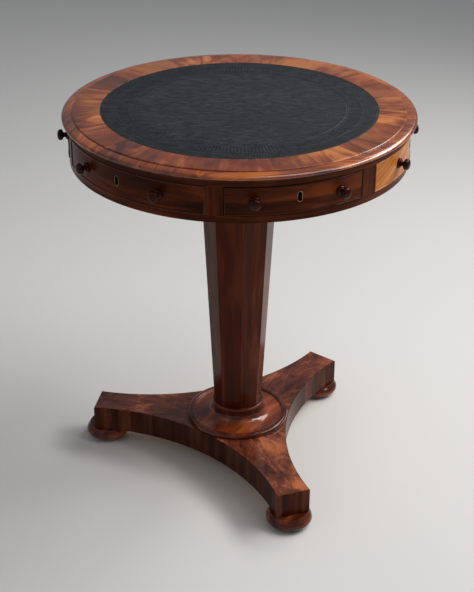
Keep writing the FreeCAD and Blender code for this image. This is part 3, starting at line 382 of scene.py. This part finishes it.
# Painted shade: the sides are painted darker than the top
side_wood_shaded = material("platform_veneer_side_shaded", wood, *PLATFORM_SIDE_SHADED, run="up", figure=0.5, fine=0.3, **RUBBED)
turned_wood = material("turned_mahogany", wood, *TURNED, shine=0.18, coat=0.8, **LATHE)
rim_wood = material("turned_mahogany_dark", wood, *TURNED_DARK, shine=0.18, coat=0.6, **LATHE)
foot_wood = material("foot_mahogany", wood, *FOOT, shine=0.16, coat=0.4, **LATHE)
brass = material("brass", metal, srgb(184, 166, 134), srgb(146, 128, 98), roughness=0.42)
dull_brass = material("brass_dull", metal, srgb(60, 46, 26), srgb(34, 26, 16), roughness=0.6)
lock_brass = material("lock_brass", metal, srgb(186, 146, 84), srgb(120, 88, 44), roughness=0.36)
iron = material("iron", metal, srgb(92, 88, 84), srgb(54, 40, 32), roughness=0.5)
leather = material("leather", hide, *LEATHER, roughness=0.42, gleam=0.24)
leather_tooled = material("leather_tooled", hide, *LEATHER_TOOLED, roughness=0.5, gleam=0.16)


# Shapes

def in_scene(name, data):
    """A new object in the scene."""
    item = bpy.data.objects.new(name, data)
    bpy.context.scene.collection.objects.link(item)
    return item


def new_piece(name, part, finishes, body, slot_name, *replaced, sharp=35.0, face_slots=None, weighted=True):
    """A mesh piece that rides on a body, with its finishes and the nodes it stands for. Its edges
    are sharp from an angle in degrees on, and face_slots says which of the finishes each face has. slot_name
    is not used."""
    verts, faces = part
    mesh = bpy.data.meshes.new(name)
    mesh.from_pydata([tuple(v) for v in verts], [], faces)
    for finish in finishes:
        mesh.materials.append(finish)
    if face_slots:
        mesh.polygons.foreach_set("material_index", face_slots)
    mesh.polygons.foreach_set("use_smooth", [True] * len(mesh.polygons))
    mesh.validate()
    mesh.update()
    fix_normals(mesh)
    mesh.set_sharp_from_angle(angle=math.radians(sharp))
    piece = in_scene(name, mesh)
    if weighted:
        # Large faces keep their own shading beside narrow rounded edges
        piece.modifiers.new("face_weights", "WEIGHTED_NORMAL").keep_sharp = True
    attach(piece, body)
    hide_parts(*replaced)


def fix_normals(mesh):
    """Turns every face outwards."""
    work = bmesh.new()
    work.from_mesh(mesh)
    bmesh.ops.recalc_face_normals(work, faces=work.faces)
    work.to_mesh(mesh)
    work.free()


def add_parts(parts):
    """Several (vertices, faces) as one."""
    verts, faces = [], []
    for part_verts, part_faces in parts:
        start = len(verts)
        verts.extend(part_verts)
        faces.extend([tuple(start + index for index in face) for face in part_faces])
    return verts, faces


def moved(part, matrix):
    """The part's vertices carried by a matrix."""
    return [matrix @ Vector(v) for v in part[0]], part[1]


def in_mm(r, z, points):
    """Points of a profile given in mm from a radius and a height, in metres."""
    return [(r + out * MM, z + up * MM) for out, up in points]


def between(a, b, c, d, t):
    """The value at a share t of the way from b to c, on the smooth curve through a, b, c and d."""
    bend, twist = 2 * a - 5 * b + 4 * c - d, 3 * b - a - 3 * c + d
    return 0.5 * (2 * b + (c - a) * t + bend * t * t + twist * t ** 3)


def smooth_line(points, steps=4):
    """A smooth line through points, as a profile's curve."""
    line = []
    for index in range(len(points) - 1):
        four = [points[min(max(index + offset, 0), len(points) - 1)] for offset in (-1, 0, 1, 2)]
        for step in range(steps):
            line.append(tuple(between(*values, step / steps) for values in zip(*four)))
    return line + [points[-1]]


def corner_curve(start, corner, end):
    """Four points on the curve that rounds a corner."""
    shares = (0.0, 1 / 3, 2 / 3, 1.0)
    return [start * (1 - t) ** 2 + corner * (2 * t * (1 - t)) + end * t * t for t in shares]


def round_corners(points, sizes):
    """An outline with its corners rounded; a size of 0 leaves a corner sharp."""
    rounded = []
    for index, (point, size) in enumerate(zip(points, sizes)):
        if not size:
            rounded.append(tuple(point))
            continue
        here = Vector(point)
        before = Vector(points[index - 1]) - here
        after = Vector(points[(index + 1) % len(points)]) - here
        size = min(size, before.length * 0.48, after.length * 0.48)
        curve = corner_curve(here + before.normalized() * size, here, here + after.normalized() * size)
        rounded.extend(tuple(place) for place in curve)
    return rounded


def strip(near, far, size):
    """The faces between two closed rows of as many points, whose first points are near and far."""
    return [(near + place, near + (place + 1) % size, far + (place + 1) % size, far + place)
            for place in range(size)]


def ring_of(profile, start=0.0, end=360.0, columns=192, closed=True):
    """A profile of (radius, height) carried round the axis; a part of a turn gets its two end faces."""
    full = abs(end - start) >= 360.0
    count = columns if full else columns + 1
    size = len(profile)
    verts, faces = [], []
    for column in range(count):
        angle = start + (end - start) * column / columns
        verts.extend(polar(angle, r, z) for r, z in profile)
    for column in range(columns):
        column_faces = strip(column * size, (column + 1) % count * size, size)
        faces.extend(column_faces if closed else column_faces[:-1])
    if not full and closed:
        faces.append(tuple(range(size)))
        faces.append(tuple(reversed(range((count - 1) * size, count * size))))
    return verts, faces


def ring_pieces(profile, count, first, columns):
    """A ring cut into equal pieces with a fine joint between them; the first one starts at an angle."""
    step, joint = 360.0 / count, 0.02
    starts = [first + step * index for index in range(count)]
    return [ring_of(profile, start + joint, start + step - joint, columns=columns) for start in starts]


def turned_of(profile, columns):
    """A solid turned from a profile of (radius, height) whose two ends lie on the axis."""
    inner = profile[1:-1]
    verts, faces = ring_of(inner, columns=columns, closed=False)
    low, high = len(verts), len(verts) + 1
    verts.extend((Vector((0, 0, profile[0][1])), Vector((0, 0, profile[-1][1]))))
    size = len(inner)
    for column in range(columns):
        near, far = column * size, (column + 1) % columns * size
        faces.append((low, near, far))
        faces.append((high, far + size - 1, near + size - 1))
    return verts, faces


def loop_of(rows):
    """Closed rows of points, joined into a closed tube."""
    size = len(rows[0])
    verts = [v for row in rows for v in row]
    faces = []
    for row in range(len(rows)):
        faces.extend(strip(row * size, (row + 1) % len(rows) * size, size))
    return verts, faces


def outward(angle, r, z):
    """The frame of a piece that stands on the frieze: its own Z points away from the drum's axis."""
    a = math.radians(angle)
    out = Vector((math.sin(a), -math.cos(a), 0))
    across = Vector((math.cos(a), math.sin(a), 0))
    up = Vector((0, 0, 1))
    matrix = Matrix((across, up, out)).transposed().to_4x4()
    matrix.translation = polar(angle, r, z)
    return matrix


# The top

# The hide's blind tooling, all of it pressed in, from the middle outwards: a row of small arches, two rings,
# a band of short radial strokes, two rings, a band of closer slanted strokes and a ring. A ring has its
# radius and half of its width; a row or a band has its two radii and the number of its arches or strokes.
RINGS = ((0.1930, 0.0005), (0.1962, 0.0007), (0.2222, 0.0007), (0.2247, 0.0005), (0.2472, 0.0006))
ARCH_LOW, ARCH_HIGH, ARCHES = 0.1785, 0.1915, 120
ARCH_FOOT, ARCH_RISE = 0.1805, 0.0085
STROKE_LOW, STROKE_HIGH, STROKES = 0.1985, 0.2200, 220
SLANT_LOW, SLANT_HIGH, SLANTS = 0.2262, 0.2458, 320
# By how many strokes a slanted stroke leans over in a metre, the depth of the tooling, and the share of it
# from which a face is dark
SLANT_LEAN = 34.0
TOOLING_DEPTH = 0.3 * MM
DARK_FROM = 0.35


def tooling(r, share):
    """How deep the tooling is at a radius and a share of the turn, from 0 to 1."""
    def line(middle, half):
        return max(0.0, 1 - ((r - middle) / half) ** 2)

    def stroke(depth, angle, low, high):
        return depth * max(0.0, math.cos(angle)) * min(1.0, (r - low) / MM, (high - r) / MM)

    dip = max(line(middle, half) for middle, half in RINGS)
    if ARCH_LOW < r < ARCH_HIGH:
        arch = ARCH_FOOT + ARCH_RISE * abs(math.sin(math.pi * share * ARCHES))
        dip = max(dip, 0.9 * line(arch, 0.9 * MM))
    if STROKE_LOW < r < STROKE_HIGH:
        dip = max(dip, stroke(0.9, math.tau * share * STROKES, STROKE_LOW, STROKE_HIGH))
    if SLANT_LOW < r < SLANT_HIGH:
        slant = (r - SLANT_LOW) * SLANT_LEAN
        dip = max(dip, stroke(0.8, math.tau * (share * SLANTS + slant), SLANT_LOW, SLANT_HIGH))
    return dip


def leather_part():
    """The hide, with few points in a row where it is plain and many where it is tooled. A slot of 1 marks the
    faces where the tooling is deep, which get the darker hide."""
    few, many = 240, 1440
    rim, edge, back = LEATHER_R - 0.1 * MM, LEATHER_Z - 0.3 * MM, LEATHER_Z - 0.8 * MM
    # The radii of the rows, which lie close together where the tooling rises and falls
    plain_rows = [0.02, 0.05, 0.08, 0.11, 0.14, 0.165, 0.1775]
    tooled_rows = [0.1784 + 0.0006 * step for step in range(23)]
    tooled_rows += [0.1924, 0.1927, 0.1930, 0.1933, 0.1936, 0.1953, 0.1957, 0.1962, 0.1967, 0.1971]
    tooled_rows += [0.1985, 0.1995, 0.2040, 0.2090, 0.2140, 0.2190, 0.2200]
    tooled_rows += [0.2213, 0.2217, 0.2222, 0.2227, 0.2231, 0.2242, 0.2247, 0.2252, 0.2262]
    tooled_rows += [0.2272 + 0.0019667 * step for step in range(10)]
    tooled_rows += [0.2458, 0.2466, 0.2469, 0.2472, 0.2475, 0.2478, 0.2486, rim - 0.4 * MM]
    verts, faces, slots = [Vector((0, 0, LEATHER_Z))], [], []

    def row(r, count):
        start = len(verts)
        for step in range(count):
            z = LEATHER_Z - TOOLING_DEPTH * tooling(r, step / count)
            verts.append(polar(360.0 * step / count, r, z))
        return start

    def bridge(last, here, count, middle=None):
        for step in range(count):
            after = (step + 1) % count
            faces.append((last + step, here + step, here + after, last + after))
            dark = middle and tooling(middle, (step + 0.5) / count) > DARK_FROM
            slots.append(1 if dark else 0)

    last = row(plain_rows[0], few)
    faces.extend((0, last + step, last + (step + 1) % few) for step in range(few))
    slots.extend([0] * few)
    for r in plain_rows[1:]:
        here = row(r, few)
        bridge(last, here, few)
        last = here
    here = row(tooled_rows[0], many)
    ratio = many // few
    for step in range(few):
        fan = [here + (step * ratio + place) % many for place in range(ratio + 1)]
        faces.append((last + step, *fan, last + (step + 1) % few))
        slots.append(0)
    last = here
    for before, r in zip(tooled_rows, tooled_rows[1:]):
        here = row(r, many)
        bridge(last, here, many, (before + r) / 2)
        last = here
    for z in (edge, back):
        here = len(verts)
        verts.extend(polar(360.0 * step / many, rim, z) for step in range(many))
        bridge(last, here, many)
        last = here
    verts.append(Vector((0, 0, back)))
    for step in range(many):
        faces.append((len(verts) - 1, last + (step + 1) % many, last + step))
        slots.append(0)
    return verts, faces, slots


*leather_skin, leather_slots = leather_part()
new_piece("leather_skin", leather_skin, [leather, leather_tooled], "drum", "leather", "leather_inset",
          sharp=70.0, face_slots=leather_slots, weighted=False)

# The outer edge of the band is eased in a quarter of an ellipse, which carries the windows' light as a line
BAND_IN, BAND_OUT = LEATHER_R + 0.2 * MM, BOARD_R + 0.15 * MM
BAND_SIDE, BAND_BACK, BAND_LOW = BOARD_R + 0.05 * MM, TOP - 1.05 * MM, TOP - 2.2 * MM
quarter = [math.radians(a) for a in range(0, 91, 10)]
band_profile = [(BAND_IN, BAND_BACK), (BAND_SIDE, BAND_BACK), (BAND_SIDE, BAND_LOW), (BAND_OUT, BAND_LOW)]
band_profile += [(BAND_OUT - 2.1 * MM * (1 - math.cos(a)), TOP - 1.8 * MM * (1 - math.sin(a)))
                 for a in quarter]
band_profile += [(BAND_IN, TOP)]
band_profile = round_corners(band_profile, [0] * (len(band_profile) - 1) + [0.3 * MM])
band_parts = ring_pieces(band_profile, BAND_PIECES, first=-180.0 / BAND_PIECES, columns=12)
new_piece("crossband_veneers", add_parts(band_parts), [crossband_wood], "drum", "crossband_veneer",
          "crossband")

# The moulding: a thumb that falls away from the band, its nose, and the cove under the nose
CROWN = TOP - 1.9 * MM
# Below this height the cove is painted in shade
COVE_SHADE_TOP = CROWN - 6.9 * MM
crown_points = in_mm(BOARD_R, CROWN, [(0.3, 0.0), (5.0, -0.1), (10.0, -0.5)])
nose_points = in_mm(OUTER_R, CROWN, [
    (-4.2, -1.3), (-2.0, -2.4), (-0.5, -4.0), (0.0, -5.7), (-0.4, -7.2), (-1.6, -8.4), (-3.1, -9.0),
    (-4.6, -9.3)])
cove_points = in_mm(OUTER_R, CROWN, [(-5.0, -9.5), (-6.2, -10.4), (-6.9, -12.0)])
cove_points += [(OUTER_R - 7.1 * MM, UNDERSIDE + 0.1 * MM)]
moulding_profile = [(BOARD_R + 0.3 * MM, UNDERSIDE + 0.1 * MM), *smooth_line(crown_points + nose_points),
                    *smooth_line(cove_points, steps=3)]
moulding_parts = ring_pieces(moulding_profile, MOULDING_PIECES, first=-29.0, columns=96)
# Each piece has its own grain, and the cove is given the frieze's dark wood as painted shade under the nose
moulding_slots = [MOULDING_PIECES if max(verts[place].z for place in face) < COVE_SHADE_TOP else index
                  for index, (verts, faces) in enumerate(moulding_parts) for face in faces]
new_piece("thumb_moulding", add_parts(moulding_parts), [*moulding_woods, frieze_ring], "drum",
          "moulding_mahogany", "edge_moulding", face_slots=moulding_slots)


# The frieze

def bead_part(middle, half, low, high):
    """A cockbead: a frame with a rounded face and mitred corners that stands proud of the front."""
    width, proud, shoulder, root, inset = 2.4 * MM, 1.5 * MM, 0.3 * MM, -4.0 * MM, 0.05 * MM
    round_face = [math.pi * step / 8 for step in range(1, 8)]
    section = [(0.0, root), (0.0, shoulder)]
    section += [(width / 2 * (1 - math.cos(a)), shoulder + (proud - shoulder) * math.sin(a))
                for a in round_face]
    section += [(width, shoulder), (width, root)]

    def corner(index, d):
        """The angle and height of a corner, counted round from the lower left, at d inside the outer edge."""
        angle = half - math.degrees((d + inset) / FRIEZE_R)
        z = low + inset + d if index in (0, 1) else high - inset - d
        return (angle if index in (1, 2) else -angle), z

    rows = []
    for side, steps in enumerate((40, 6, 40, 6)):
        for step in range(steps):
            row = []
            for d, out in section:
                (angle, z), (next_angle, next_z) = corner(side, d), corner((side + 1) % 4, d)
                t = step / steps
                row.append(polar(middle + angle + (next_angle - angle) * t, FRIEZE_R + out,
                                 z + (next_z - z) * t))
            rows.append(row)
    return loop_of(rows)


def knob_part(angle):
    """A turned knob: a round foot nearly as wide as the flattened head, and a narrow waist between them."""
    outline = smooth_line([
        (8.2, -0.3), (8.8, 0.2), (9.0, 1.2), (8.9, 2.4), (8.2, 3.6), (6.8, 4.6), (5.3, 5.5), (4.5, 6.6),
        (4.3, 7.8), (4.6, 9.0), (5.8, 9.9), (7.8, 10.7), (9.3, 12.0), (9.95, 13.8), (9.9, 15.6), (9.2, 17.4),
        (7.6, 19.0), (5.2, 20.0), (2.6, 20.4), (1.0, 20.5)], steps=3)
    profile = in_mm(0.0, 0.0, [(0.0, -0.3), *outline, (0.0, 20.5)])
    return moved(turned_of(profile, columns=40), outward(angle, FRIEZE_R, KNOB_Z))


# A keyhole's rim in mm, from its outer wall over its rounded face to its inner wall
RIM_SECTION = in_mm(0.0, 0.0, [
    (0.0, -3.8), (0.0, 0.15), (0.2, 0.32), (0.45, 0.38), (0.7, 0.32), (0.9, 0.15), (0.9, -3.8)])
RIM_STEPS = 16
# Only the rim's face is polished; its walls are dull
RIM_SLOTS = [0 if 1 <= place <= 4 else 1 for place in range(len(RIM_SECTION))] * (2 * (RIM_STEPS + 1))


def escutcheon_part(angle):
    """The brass lining of a keyhole: a slot-shaped rim with a rounded edge."""
    half_width, half_height = 4.65 * MM, 9.15 * MM
    rows = []
    for end, first in ((1, 0.0), (-1, math.pi)):
        for step in range(RIM_STEPS + 1):
            a = first + math.pi * step / RIM_STEPS
            rows.append([Vector(((half_width - d) * math.cos(a),
                                 end * (half_height - half_width) + (half_width - d) * math.sin(a), out))
                         for d, out in RIM_SECTION])
    return moved(loop_of(rows), outward(angle, FRIEZE_R, KEY_Z))


def front_fittings(middle, half, low, high, knob_angle):
    """Bead, knobs and escutcheon of one front, as parts."""
    bead = bead_part(middle, half, low, high)
    knobs = add_parts([knob_part(middle - knob_angle), knob_part(middle + knob_angle)])
    return bead, knobs, escutcheon_part(middle)


for side, middle in DRAWERS:
    bead, knobs, rim = front_fittings(middle, DRAWER_HALF, FRONT_LOW, FRONT_HIGH, DRAWER_KNOB)
    body = f"{side}_drawer"
    new_piece(f"{side}_bead_rounded", bead, [bead_wood], body, "cockbead_mahogany", f"{side}_drawer_cockbead",
              sharp=50.0)
    new_piece(f"{side}_knobs_turned", knobs, [knob_wood], body, "knob_mahogany", f"{side}_drawer_knobs",
              sharp=60.0)
    new_piece(f"{side}_keyhole_rim", rim, [brass, dull_brass], body, "brass", f"{side}_drawer_escutcheon",
              sharp=50.0, face_slots=RIM_SLOTS)

fittings = [front_fittings(middle, FALSE_HALF, OPEN_LOW, OPEN_HIGH, FALSE_KNOB) for middle in FALSE_FRONTS]
false_beads, false_knobs, false_rims = zip(*fittings)
# The first false front faces the lamps, and its veneer and its bead are painted lighter than the other two:
# painted light
bead_slots = [min(index, 1) for index, (_, faces) in enumerate(false_beads) for _ in faces]
new_piece("false_beads_rounded", add_parts(false_beads), [bead_painted_lit, false_bead_wood], "drum",
          "cockbead_mahogany", "false_front_cockbeads", sharp=50.0, face_slots=bead_slots)
new_piece("false_knobs_turned", add_parts(false_knobs), [knob_wood], "drum", "knob_mahogany",
          "false_front_knobs", sharp=60.0)
new_piece("false_keyhole_rims", add_parts(false_rims), [brass, dull_brass], "drum", "brass",
          "false_front_escutcheons", sharp=50.0, face_slots=RIM_SLOTS * len(FALSE_FRONTS))


# The pillar and the base

def pillar_part():
    """The octagon with fine bevels on its eight edges and round its head and foot."""
    low_z, high_z = COLLAR_TOP + 0.1 * MM, PILLAR_TOP
    low_r, high_r = 0.0472, 0.074
    foot_ease, head_ease, bevel = 0.6 * MM, 0.8 * MM, 1.1 * MM
    step = 360.0 / PILLAR_SIDES
    first = BASE_TURN + PILLAR_TURN + step / 2
    rows = [(low_z, low_r - foot_ease), (low_z + foot_ease, low_r)]
    rows += [(low_z + (high_z - low_z) * t / 8, low_r + (high_r - low_r) * t / 8) for t in range(1, 8)]
    rows += [(high_z - head_ease, high_r), (high_z, high_r - head_ease)]
    verts, faces = [], []
    for z, r in rows:
        corners = [polar(first + step * index, r, z) for index in range(PILLAR_SIDES)]
        for index, corner in enumerate(corners):
            before = (corners[index - 1] - corner).normalized()
            after = (corners[(index + 1) % PILLAR_SIDES] - corner).normalized()
            verts.extend(corner_curve(corner + before * bevel, corner, corner + after * bevel))
    size = len(verts) // len(rows)
    for row in range(len(rows) - 1):
        faces.extend(strip(row * size, (row + 1) * size, size))
    faces.append(tuple(reversed(range(size))))
    faces.append(tuple(range(len(verts) - size, len(verts))))
    return verts, faces


new_piece("pillar_shaft", pillar_part(), [pillar_wood], "pedestal", "pillar_mahogany", "pillar", sharp=50.0)

# The collar from the platform up: its rim, the dish, the hollow up to the neck, and the neck's ring
COLLAR_BORE = 0.036
collar_line = [(COLLAR_BORE, PLATFORM_TOP + 0.0001), (0.0985, PLATFORM_TOP + 0.0001)]
collar_line += smooth_line([
    (0.0994, PLATFORM_TOP + 0.0006), (0.0999, PLATFORM_TOP + 0.0025), (0.0999, 0.0842), (0.0993, 0.0868),
    (0.0976, 0.0884), (0.0952, 0.0889), (0.0915, 0.0889), (0.0896, 0.0884), (0.0886, 0.0872),
    (0.0880, 0.0860), (0.0862, 0.0853), (0.0800, 0.0852), (0.0720, 0.0854), (0.0660, 0.0860),
    (0.0600, 0.0877), (0.0553, 0.0906), (0.0520, 0.0948), (0.0503, 0.0995), (0.0496, 0.1045),
    (0.0494, 0.1096)], steps=3)
collar_line += smooth_line([
    (0.0500, 0.1103), (0.0507, 0.1112), (0.0511, 0.1130), (0.0511, 0.1146), (0.0505, 0.1160),
    (0.0494, 0.1166)], steps=3)
collar_line += [(COLLAR_BORE, COLLAR_TOP)]
collar = ring_of(collar_line, columns=144)
# The rim round the dish and the neck with its ring are darker than the dish between them
collar_slots = [0 if 0.052 < Vector(collar[0][face[0]][:2]).length < 0.088 else 1 for face in collar[1]]
new_piece("collar_turned", collar, [turned_wood, rim_wood], "pedestal", "turned_mahogany", "base_collar",
          sharp=40.0, face_slots=collar_slots)


def platform_outline():
    """The platform's outline: three blunt ends, with the points of a hollow arc after each."""
    reach, half, waist, steps = 0.2908, 0.0328, 0.101, 40
    third = math.radians(60)
    sag = reach * math.cos(third) + half * math.sin(third) - waist
    outline = []
    for index in range(3):
        out, following = (polar(BASE_TURN + 120.0 * place, 1.0) for place in (index, index + 1))
        across = Vector((-out.y, out.x, 0))
        near, far = out * reach - across * half, out * reach + across * half
        next_near = following * reach - Vector((-following.y, following.x, 0)) * half
        length = (next_near - far).length
        radius = (sag * sag + length * length / 4) / (2 * sag)
        middle = (far + next_near) / 2
        centre = middle + middle.normalized() * (radius - sag)
        first, last = far - centre, next_near - centre
        sweep = math.copysign(first.angle(last), first.cross(last).z)
        outline += [near, far]
        outline += [centre + Matrix.Rotation(sweep * step / steps, 4, "Z") @ first
                    for step in range(1, steps)]
    return outline


def drawn_in(outline, distance):
    """An outline moved inwards by a distance."""
    points = []
    for index, point in enumerate(outline):
        before = (point - outline[index - 1]).normalized()
        after = (outline[(index + 1) % len(outline)] - point).normalized()
        normal_before = Vector((-before.y, before.x, 0))
        normal_after = Vector((-after.y, after.x, 0))
        way = (normal_before + normal_after).normalized()
        points.append(point + way * (distance / max(0.3, way.dot(normal_before))))
    return points


def platform_part():
    """The three-armed platform with its edges eased. The slots are 0 for its top, 1 for its sides and 2 for
    its underside."""
    outline = platform_outline()
    count = len(outline)
    ease = 1.3 * MM
    quarter = [math.pi / 2 * step / 3 for step in range(4)]
    layers = [(ease * (1 - math.sin(a)), PLATFORM_LOW + ease * (1 - math.cos(a))) for a in quarter]
    layers += [(ease * (1 - math.cos(a)), PLATFORM_TOP - ease * (1 - math.sin(a))) for a in quarter]
    verts, faces, slots = [], [], []
    for distance, z in layers:
        verts.extend(Vector((p.x, p.y, z)) for p in drawn_in(outline, distance))
    for layer in range(len(layers) - 1):
        faces.extend(strip(layer * count, (layer + 1) * count, count))
        slots.extend([1] * count)
    # The top and the underside are laid out round the middle so that no face folds over the concave sides
    for start, z, slot_index in ((0, PLATFORM_LOW, 2), ((len(layers) - 1) * count, PLATFORM_TOP, 0)):
        rows = [start]
        for share in (0.75, 0.5, 0.3):
            rows.append(len(verts))
            verts.extend(Vector((verts[start + place].x * share, verts[start + place].y * share, z))
                         for place in range(count))
        for near, far in zip(rows, rows[1:]):
            faces.extend(strip(near, far, count))
            slots.extend([slot_index] * count)
        faces.append(tuple(rows[-1] + place for place in range(count)))
        slots.append(slot_index)
    return verts, faces, slots


*platform, platform_slots = platform_part()
new_piece("platform_veneered", platform, [flame_wood, side_wood_shaded, pine("y")], "pedestal", "platform_veneer",
          "platform", face_slots=platform_slots)

foot_line = smooth_line([
    (27.6, 0.9), (31.5, 2.3), (36.6, 4.8), (40.7, 8.2), (43.0, 12.0), (43.5, 15.6), (42.6, 19.6),
    (40.2, 23.4), (37.6, 26.2), (36.4, 28.0)], steps=3)
foot_profile = in_mm(0.0, 0.0, [(0.0, 0.0), (26.4, 0.0), (27.0, 0.3), *foot_line, (36.6, 29.2), (0.0, 29.2)])
foot = turned_of(foot_profile, columns=72)
feet = [moved(foot, Matrix.Translation(polar(BASE_TURN + 120.0 * index, FOOT_R))) for index in range(3)]
new_piece("feet_turned", add_parts(feet), [foot_wood], "pedestal", "turned_mahogany", "bun_feet", sharp=45.0)


# Finishes of the pieces kept from the frame

def shade_round(piece):
    """Shades a kept node's walls about the drum's axis as true rounds and leaves its flats flat."""
    # A round wall lies beyond a radius, is upright, and faces straight away from the axis or towards it
    wall_r, most_tilt, least_agreement = 0.29, 0.02, 0.996
    mesh = piece.data
    normals = [Vector((0, 0, 1))] * len(mesh.loops)
    for polygon in mesh.polygons:
        flat = polygon.normal
        for index in polygon.loop_indices:
            point = mesh.vertices[mesh.loops[index].vertex_index].co
            out = Vector((point.x, point.y, 0.0))
            normals[index] = flat
            if out.length > wall_r and abs(flat.z) < most_tilt:
                out.normalize()
                agree = out.dot(flat)
                if abs(agree) > least_agreement:
                    normals[index] = out if agree > 0 else -out
    mesh.polygons.foreach_set("use_smooth", [True] * len(mesh.polygons))
    mesh.normals_split_custom_set(normals)


def dress(node, finish, rounds=False):
    """Gives a kept node its finish."""
    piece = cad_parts[node]
    piece.data.materials.clear()
    piece.data.materials.append(finish)
    if rounds:
        shade_round(piece)


for node, veneer in (("upper_rail", frieze_ring), ("lower_rail", frieze_ring), ("frieze_stiles", frieze_up),
                     ("right_false_front", false_front_painted_lit), ("back_false_front", drawer_veneer),
                     ("left_false_front", drawer_veneer)):
    dress(node, veneer, rounds=True)
dress("top_board", pine("x"), rounds=True)
dress("bottom_board", pine("y"))
for node in ("hub_block", "tenon_wedge"):
    dress(node, pine("up"))
for node in ("drawer_partitions", "drawer_runners", "drawer_kickers", "glue_blocks", "drawer_stops"):
    dress(node, pine("x"))
for node in ("pillar_plate", "drum_plate", "spindle", "spindle_nut"):
    dress(node, iron)
for side, turn in DRAWERS:
    dress(f"{side}_drawer_front", drawer_veneer, rounds=True)
    dress(f"{side}_drawer_sides", oak(turn))
    dress(f"{side}_drawer_back", oak(turn, "x"))
    dress(f"{side}_drawer_bottom", oak(turn))
    for node in ("lock_case", "lock_bolt"):
        dress(f"{side}_{node}", lock_brass)


# Floor, light and camera

def sweep_backdrop():
    """A pale round floor that rises in a wide curve into a pale wall all round."""
    flat, curve, wall, columns = 4.4, 1.4, 1.9, 96
    profile = [(0.01, 0.0), (1.5, 0.0), (flat, 0.0)]
    for a in (math.radians(degrees) for degrees in range(6, 91, 6)):
        profile.append((flat + curve * math.sin(a), curve - curve * math.cos(a)))
    profile.append((flat + curve, wall))
    verts, faces = ring_of(profile, columns=columns, closed=False)
    faces.append(tuple(column * len(profile) for column in range(columns)))
    mesh = bpy.data.meshes.new("floor_sweep")
    mesh.from_pydata([tuple(v) for v in verts], [], faces)
    mesh.polygons.foreach_set("use_smooth", [True] * len(mesh.polygons))
    mesh.materials.append(floor_material())
    in_scene("floor_sweep", mesh)


def floor_material():
    """A pale, matt and very slightly uneven floor."""
    tree = Tree("floor_pale")
    pale = srgb(231, 231, 230)
    shade = tree.span(tree.noise(tree.coords, scale=1.4, detail=2.0), 0.3, 0.7, 0.0, 0.25)
    tree.surface(Base_Color=tree.mix(shade, pale, tuple(c * 0.93 for c in pale)), Roughness=0.8,
                 Specular_IOR_Level=0.2)
    return tree.material


def lamp(name, azimuth, elevation, distance, size, power, colour, spread=180.0):
    """A soft lamp at an azimuth and height round the table. A narrower spread keeps its light off the floor
    and the wall beside it."""
    data = bpy.data.lights.new(name, "AREA")
    data.shape = "RECTANGLE"
    data.size, data.size_y = size
    data.energy = power
    data.color = colour
    data.spread = math.radians(spread)
    item = in_scene(name, data)
    a, e = math.radians(azimuth), math.radians(elevation)
    aim = Vector((0.0, 0.0, 0.45))
    way = Vector((math.sin(a) * math.cos(e), -math.cos(a) * math.cos(e), math.sin(e)))
    item.location = aim + way * distance
    item.rotation_mode = "QUATERNION"
    item.rotation_quaternion = (item.location - aim).to_track_quat("Z", "Y")


sweep_backdrop()

world = bpy.data.worlds.new("room")
bpy.context.scene.world = world
world.use_nodes = True
background = world.node_tree.nodes["Background"]
background.inputs["Color"].default_value = (0.90, 0.92, 0.96, 1.0)
background.inputs["Strength"].default_value = 0.22

lamp("window", 72.0, 39.0, 2.9, (2.2, 0.8), 20.0, (1.0, 0.98, 0.95), spread=120.0)
lamp("second_window", 112.0, 38.0, 3.0, (2.2, 0.8), 15.5, (1.0, 0.98, 0.96), spread=120.0)
lamp("skylight", 60.0, 68.0, 2.8, (1.6, 1.6), 19.0, (1.0, 0.98, 0.96))
lamp("room_fill", -80.0, 30.0, 3.4, (2.4, 2.0), 4.0, (0.90, 0.94, 1.0))

# The camera as it was fitted to the photograph, before its turn round the table
CAMERA_LENS, CAMERA_SENSOR = 81.07, 36.0
CAMERA_PITCH, CAMERA_YAW, CAMERA_ROLL = 27.986, -0.072, 0.291
CAMERA_PLACE = (0.0, -2.2697, 1.5514)

camera_data = bpy.data.cameras.new("photo_camera")
camera_data.lens = CAMERA_LENS
camera_data.sensor_width = CAMERA_SENSOR
camera_data.sensor_fit = "AUTO"
camera_data.dof.use_dof = False
camera = in_scene("photo_camera", camera_data)
bpy.context.scene.camera = camera
pitch, yaw, roll = (math.radians(angle) for angle in (CAMERA_PITCH, CAMERA_YAW, CAMERA_ROLL))
forward = Vector((math.sin(yaw) * math.cos(pitch), math.cos(yaw) * math.cos(pitch), -math.sin(pitch)))
side_way = Vector((math.cos(yaw), -math.sin(yaw), 0.0))
up_way = side_way.cross(forward)
right = side_way * math.cos(roll) + up_way * math.sin(roll)
up = right.cross(forward)
view = Matrix((right, up, -forward)).transposed().to_4x4()
view.translation = Vector(CAMERA_PLACE)
camera.matrix_world = Matrix.Rotation(math.radians(VIEW_TURN), 4, "Z") @ view

bpy.context.scene.view_settings.view_transform = "Standard"
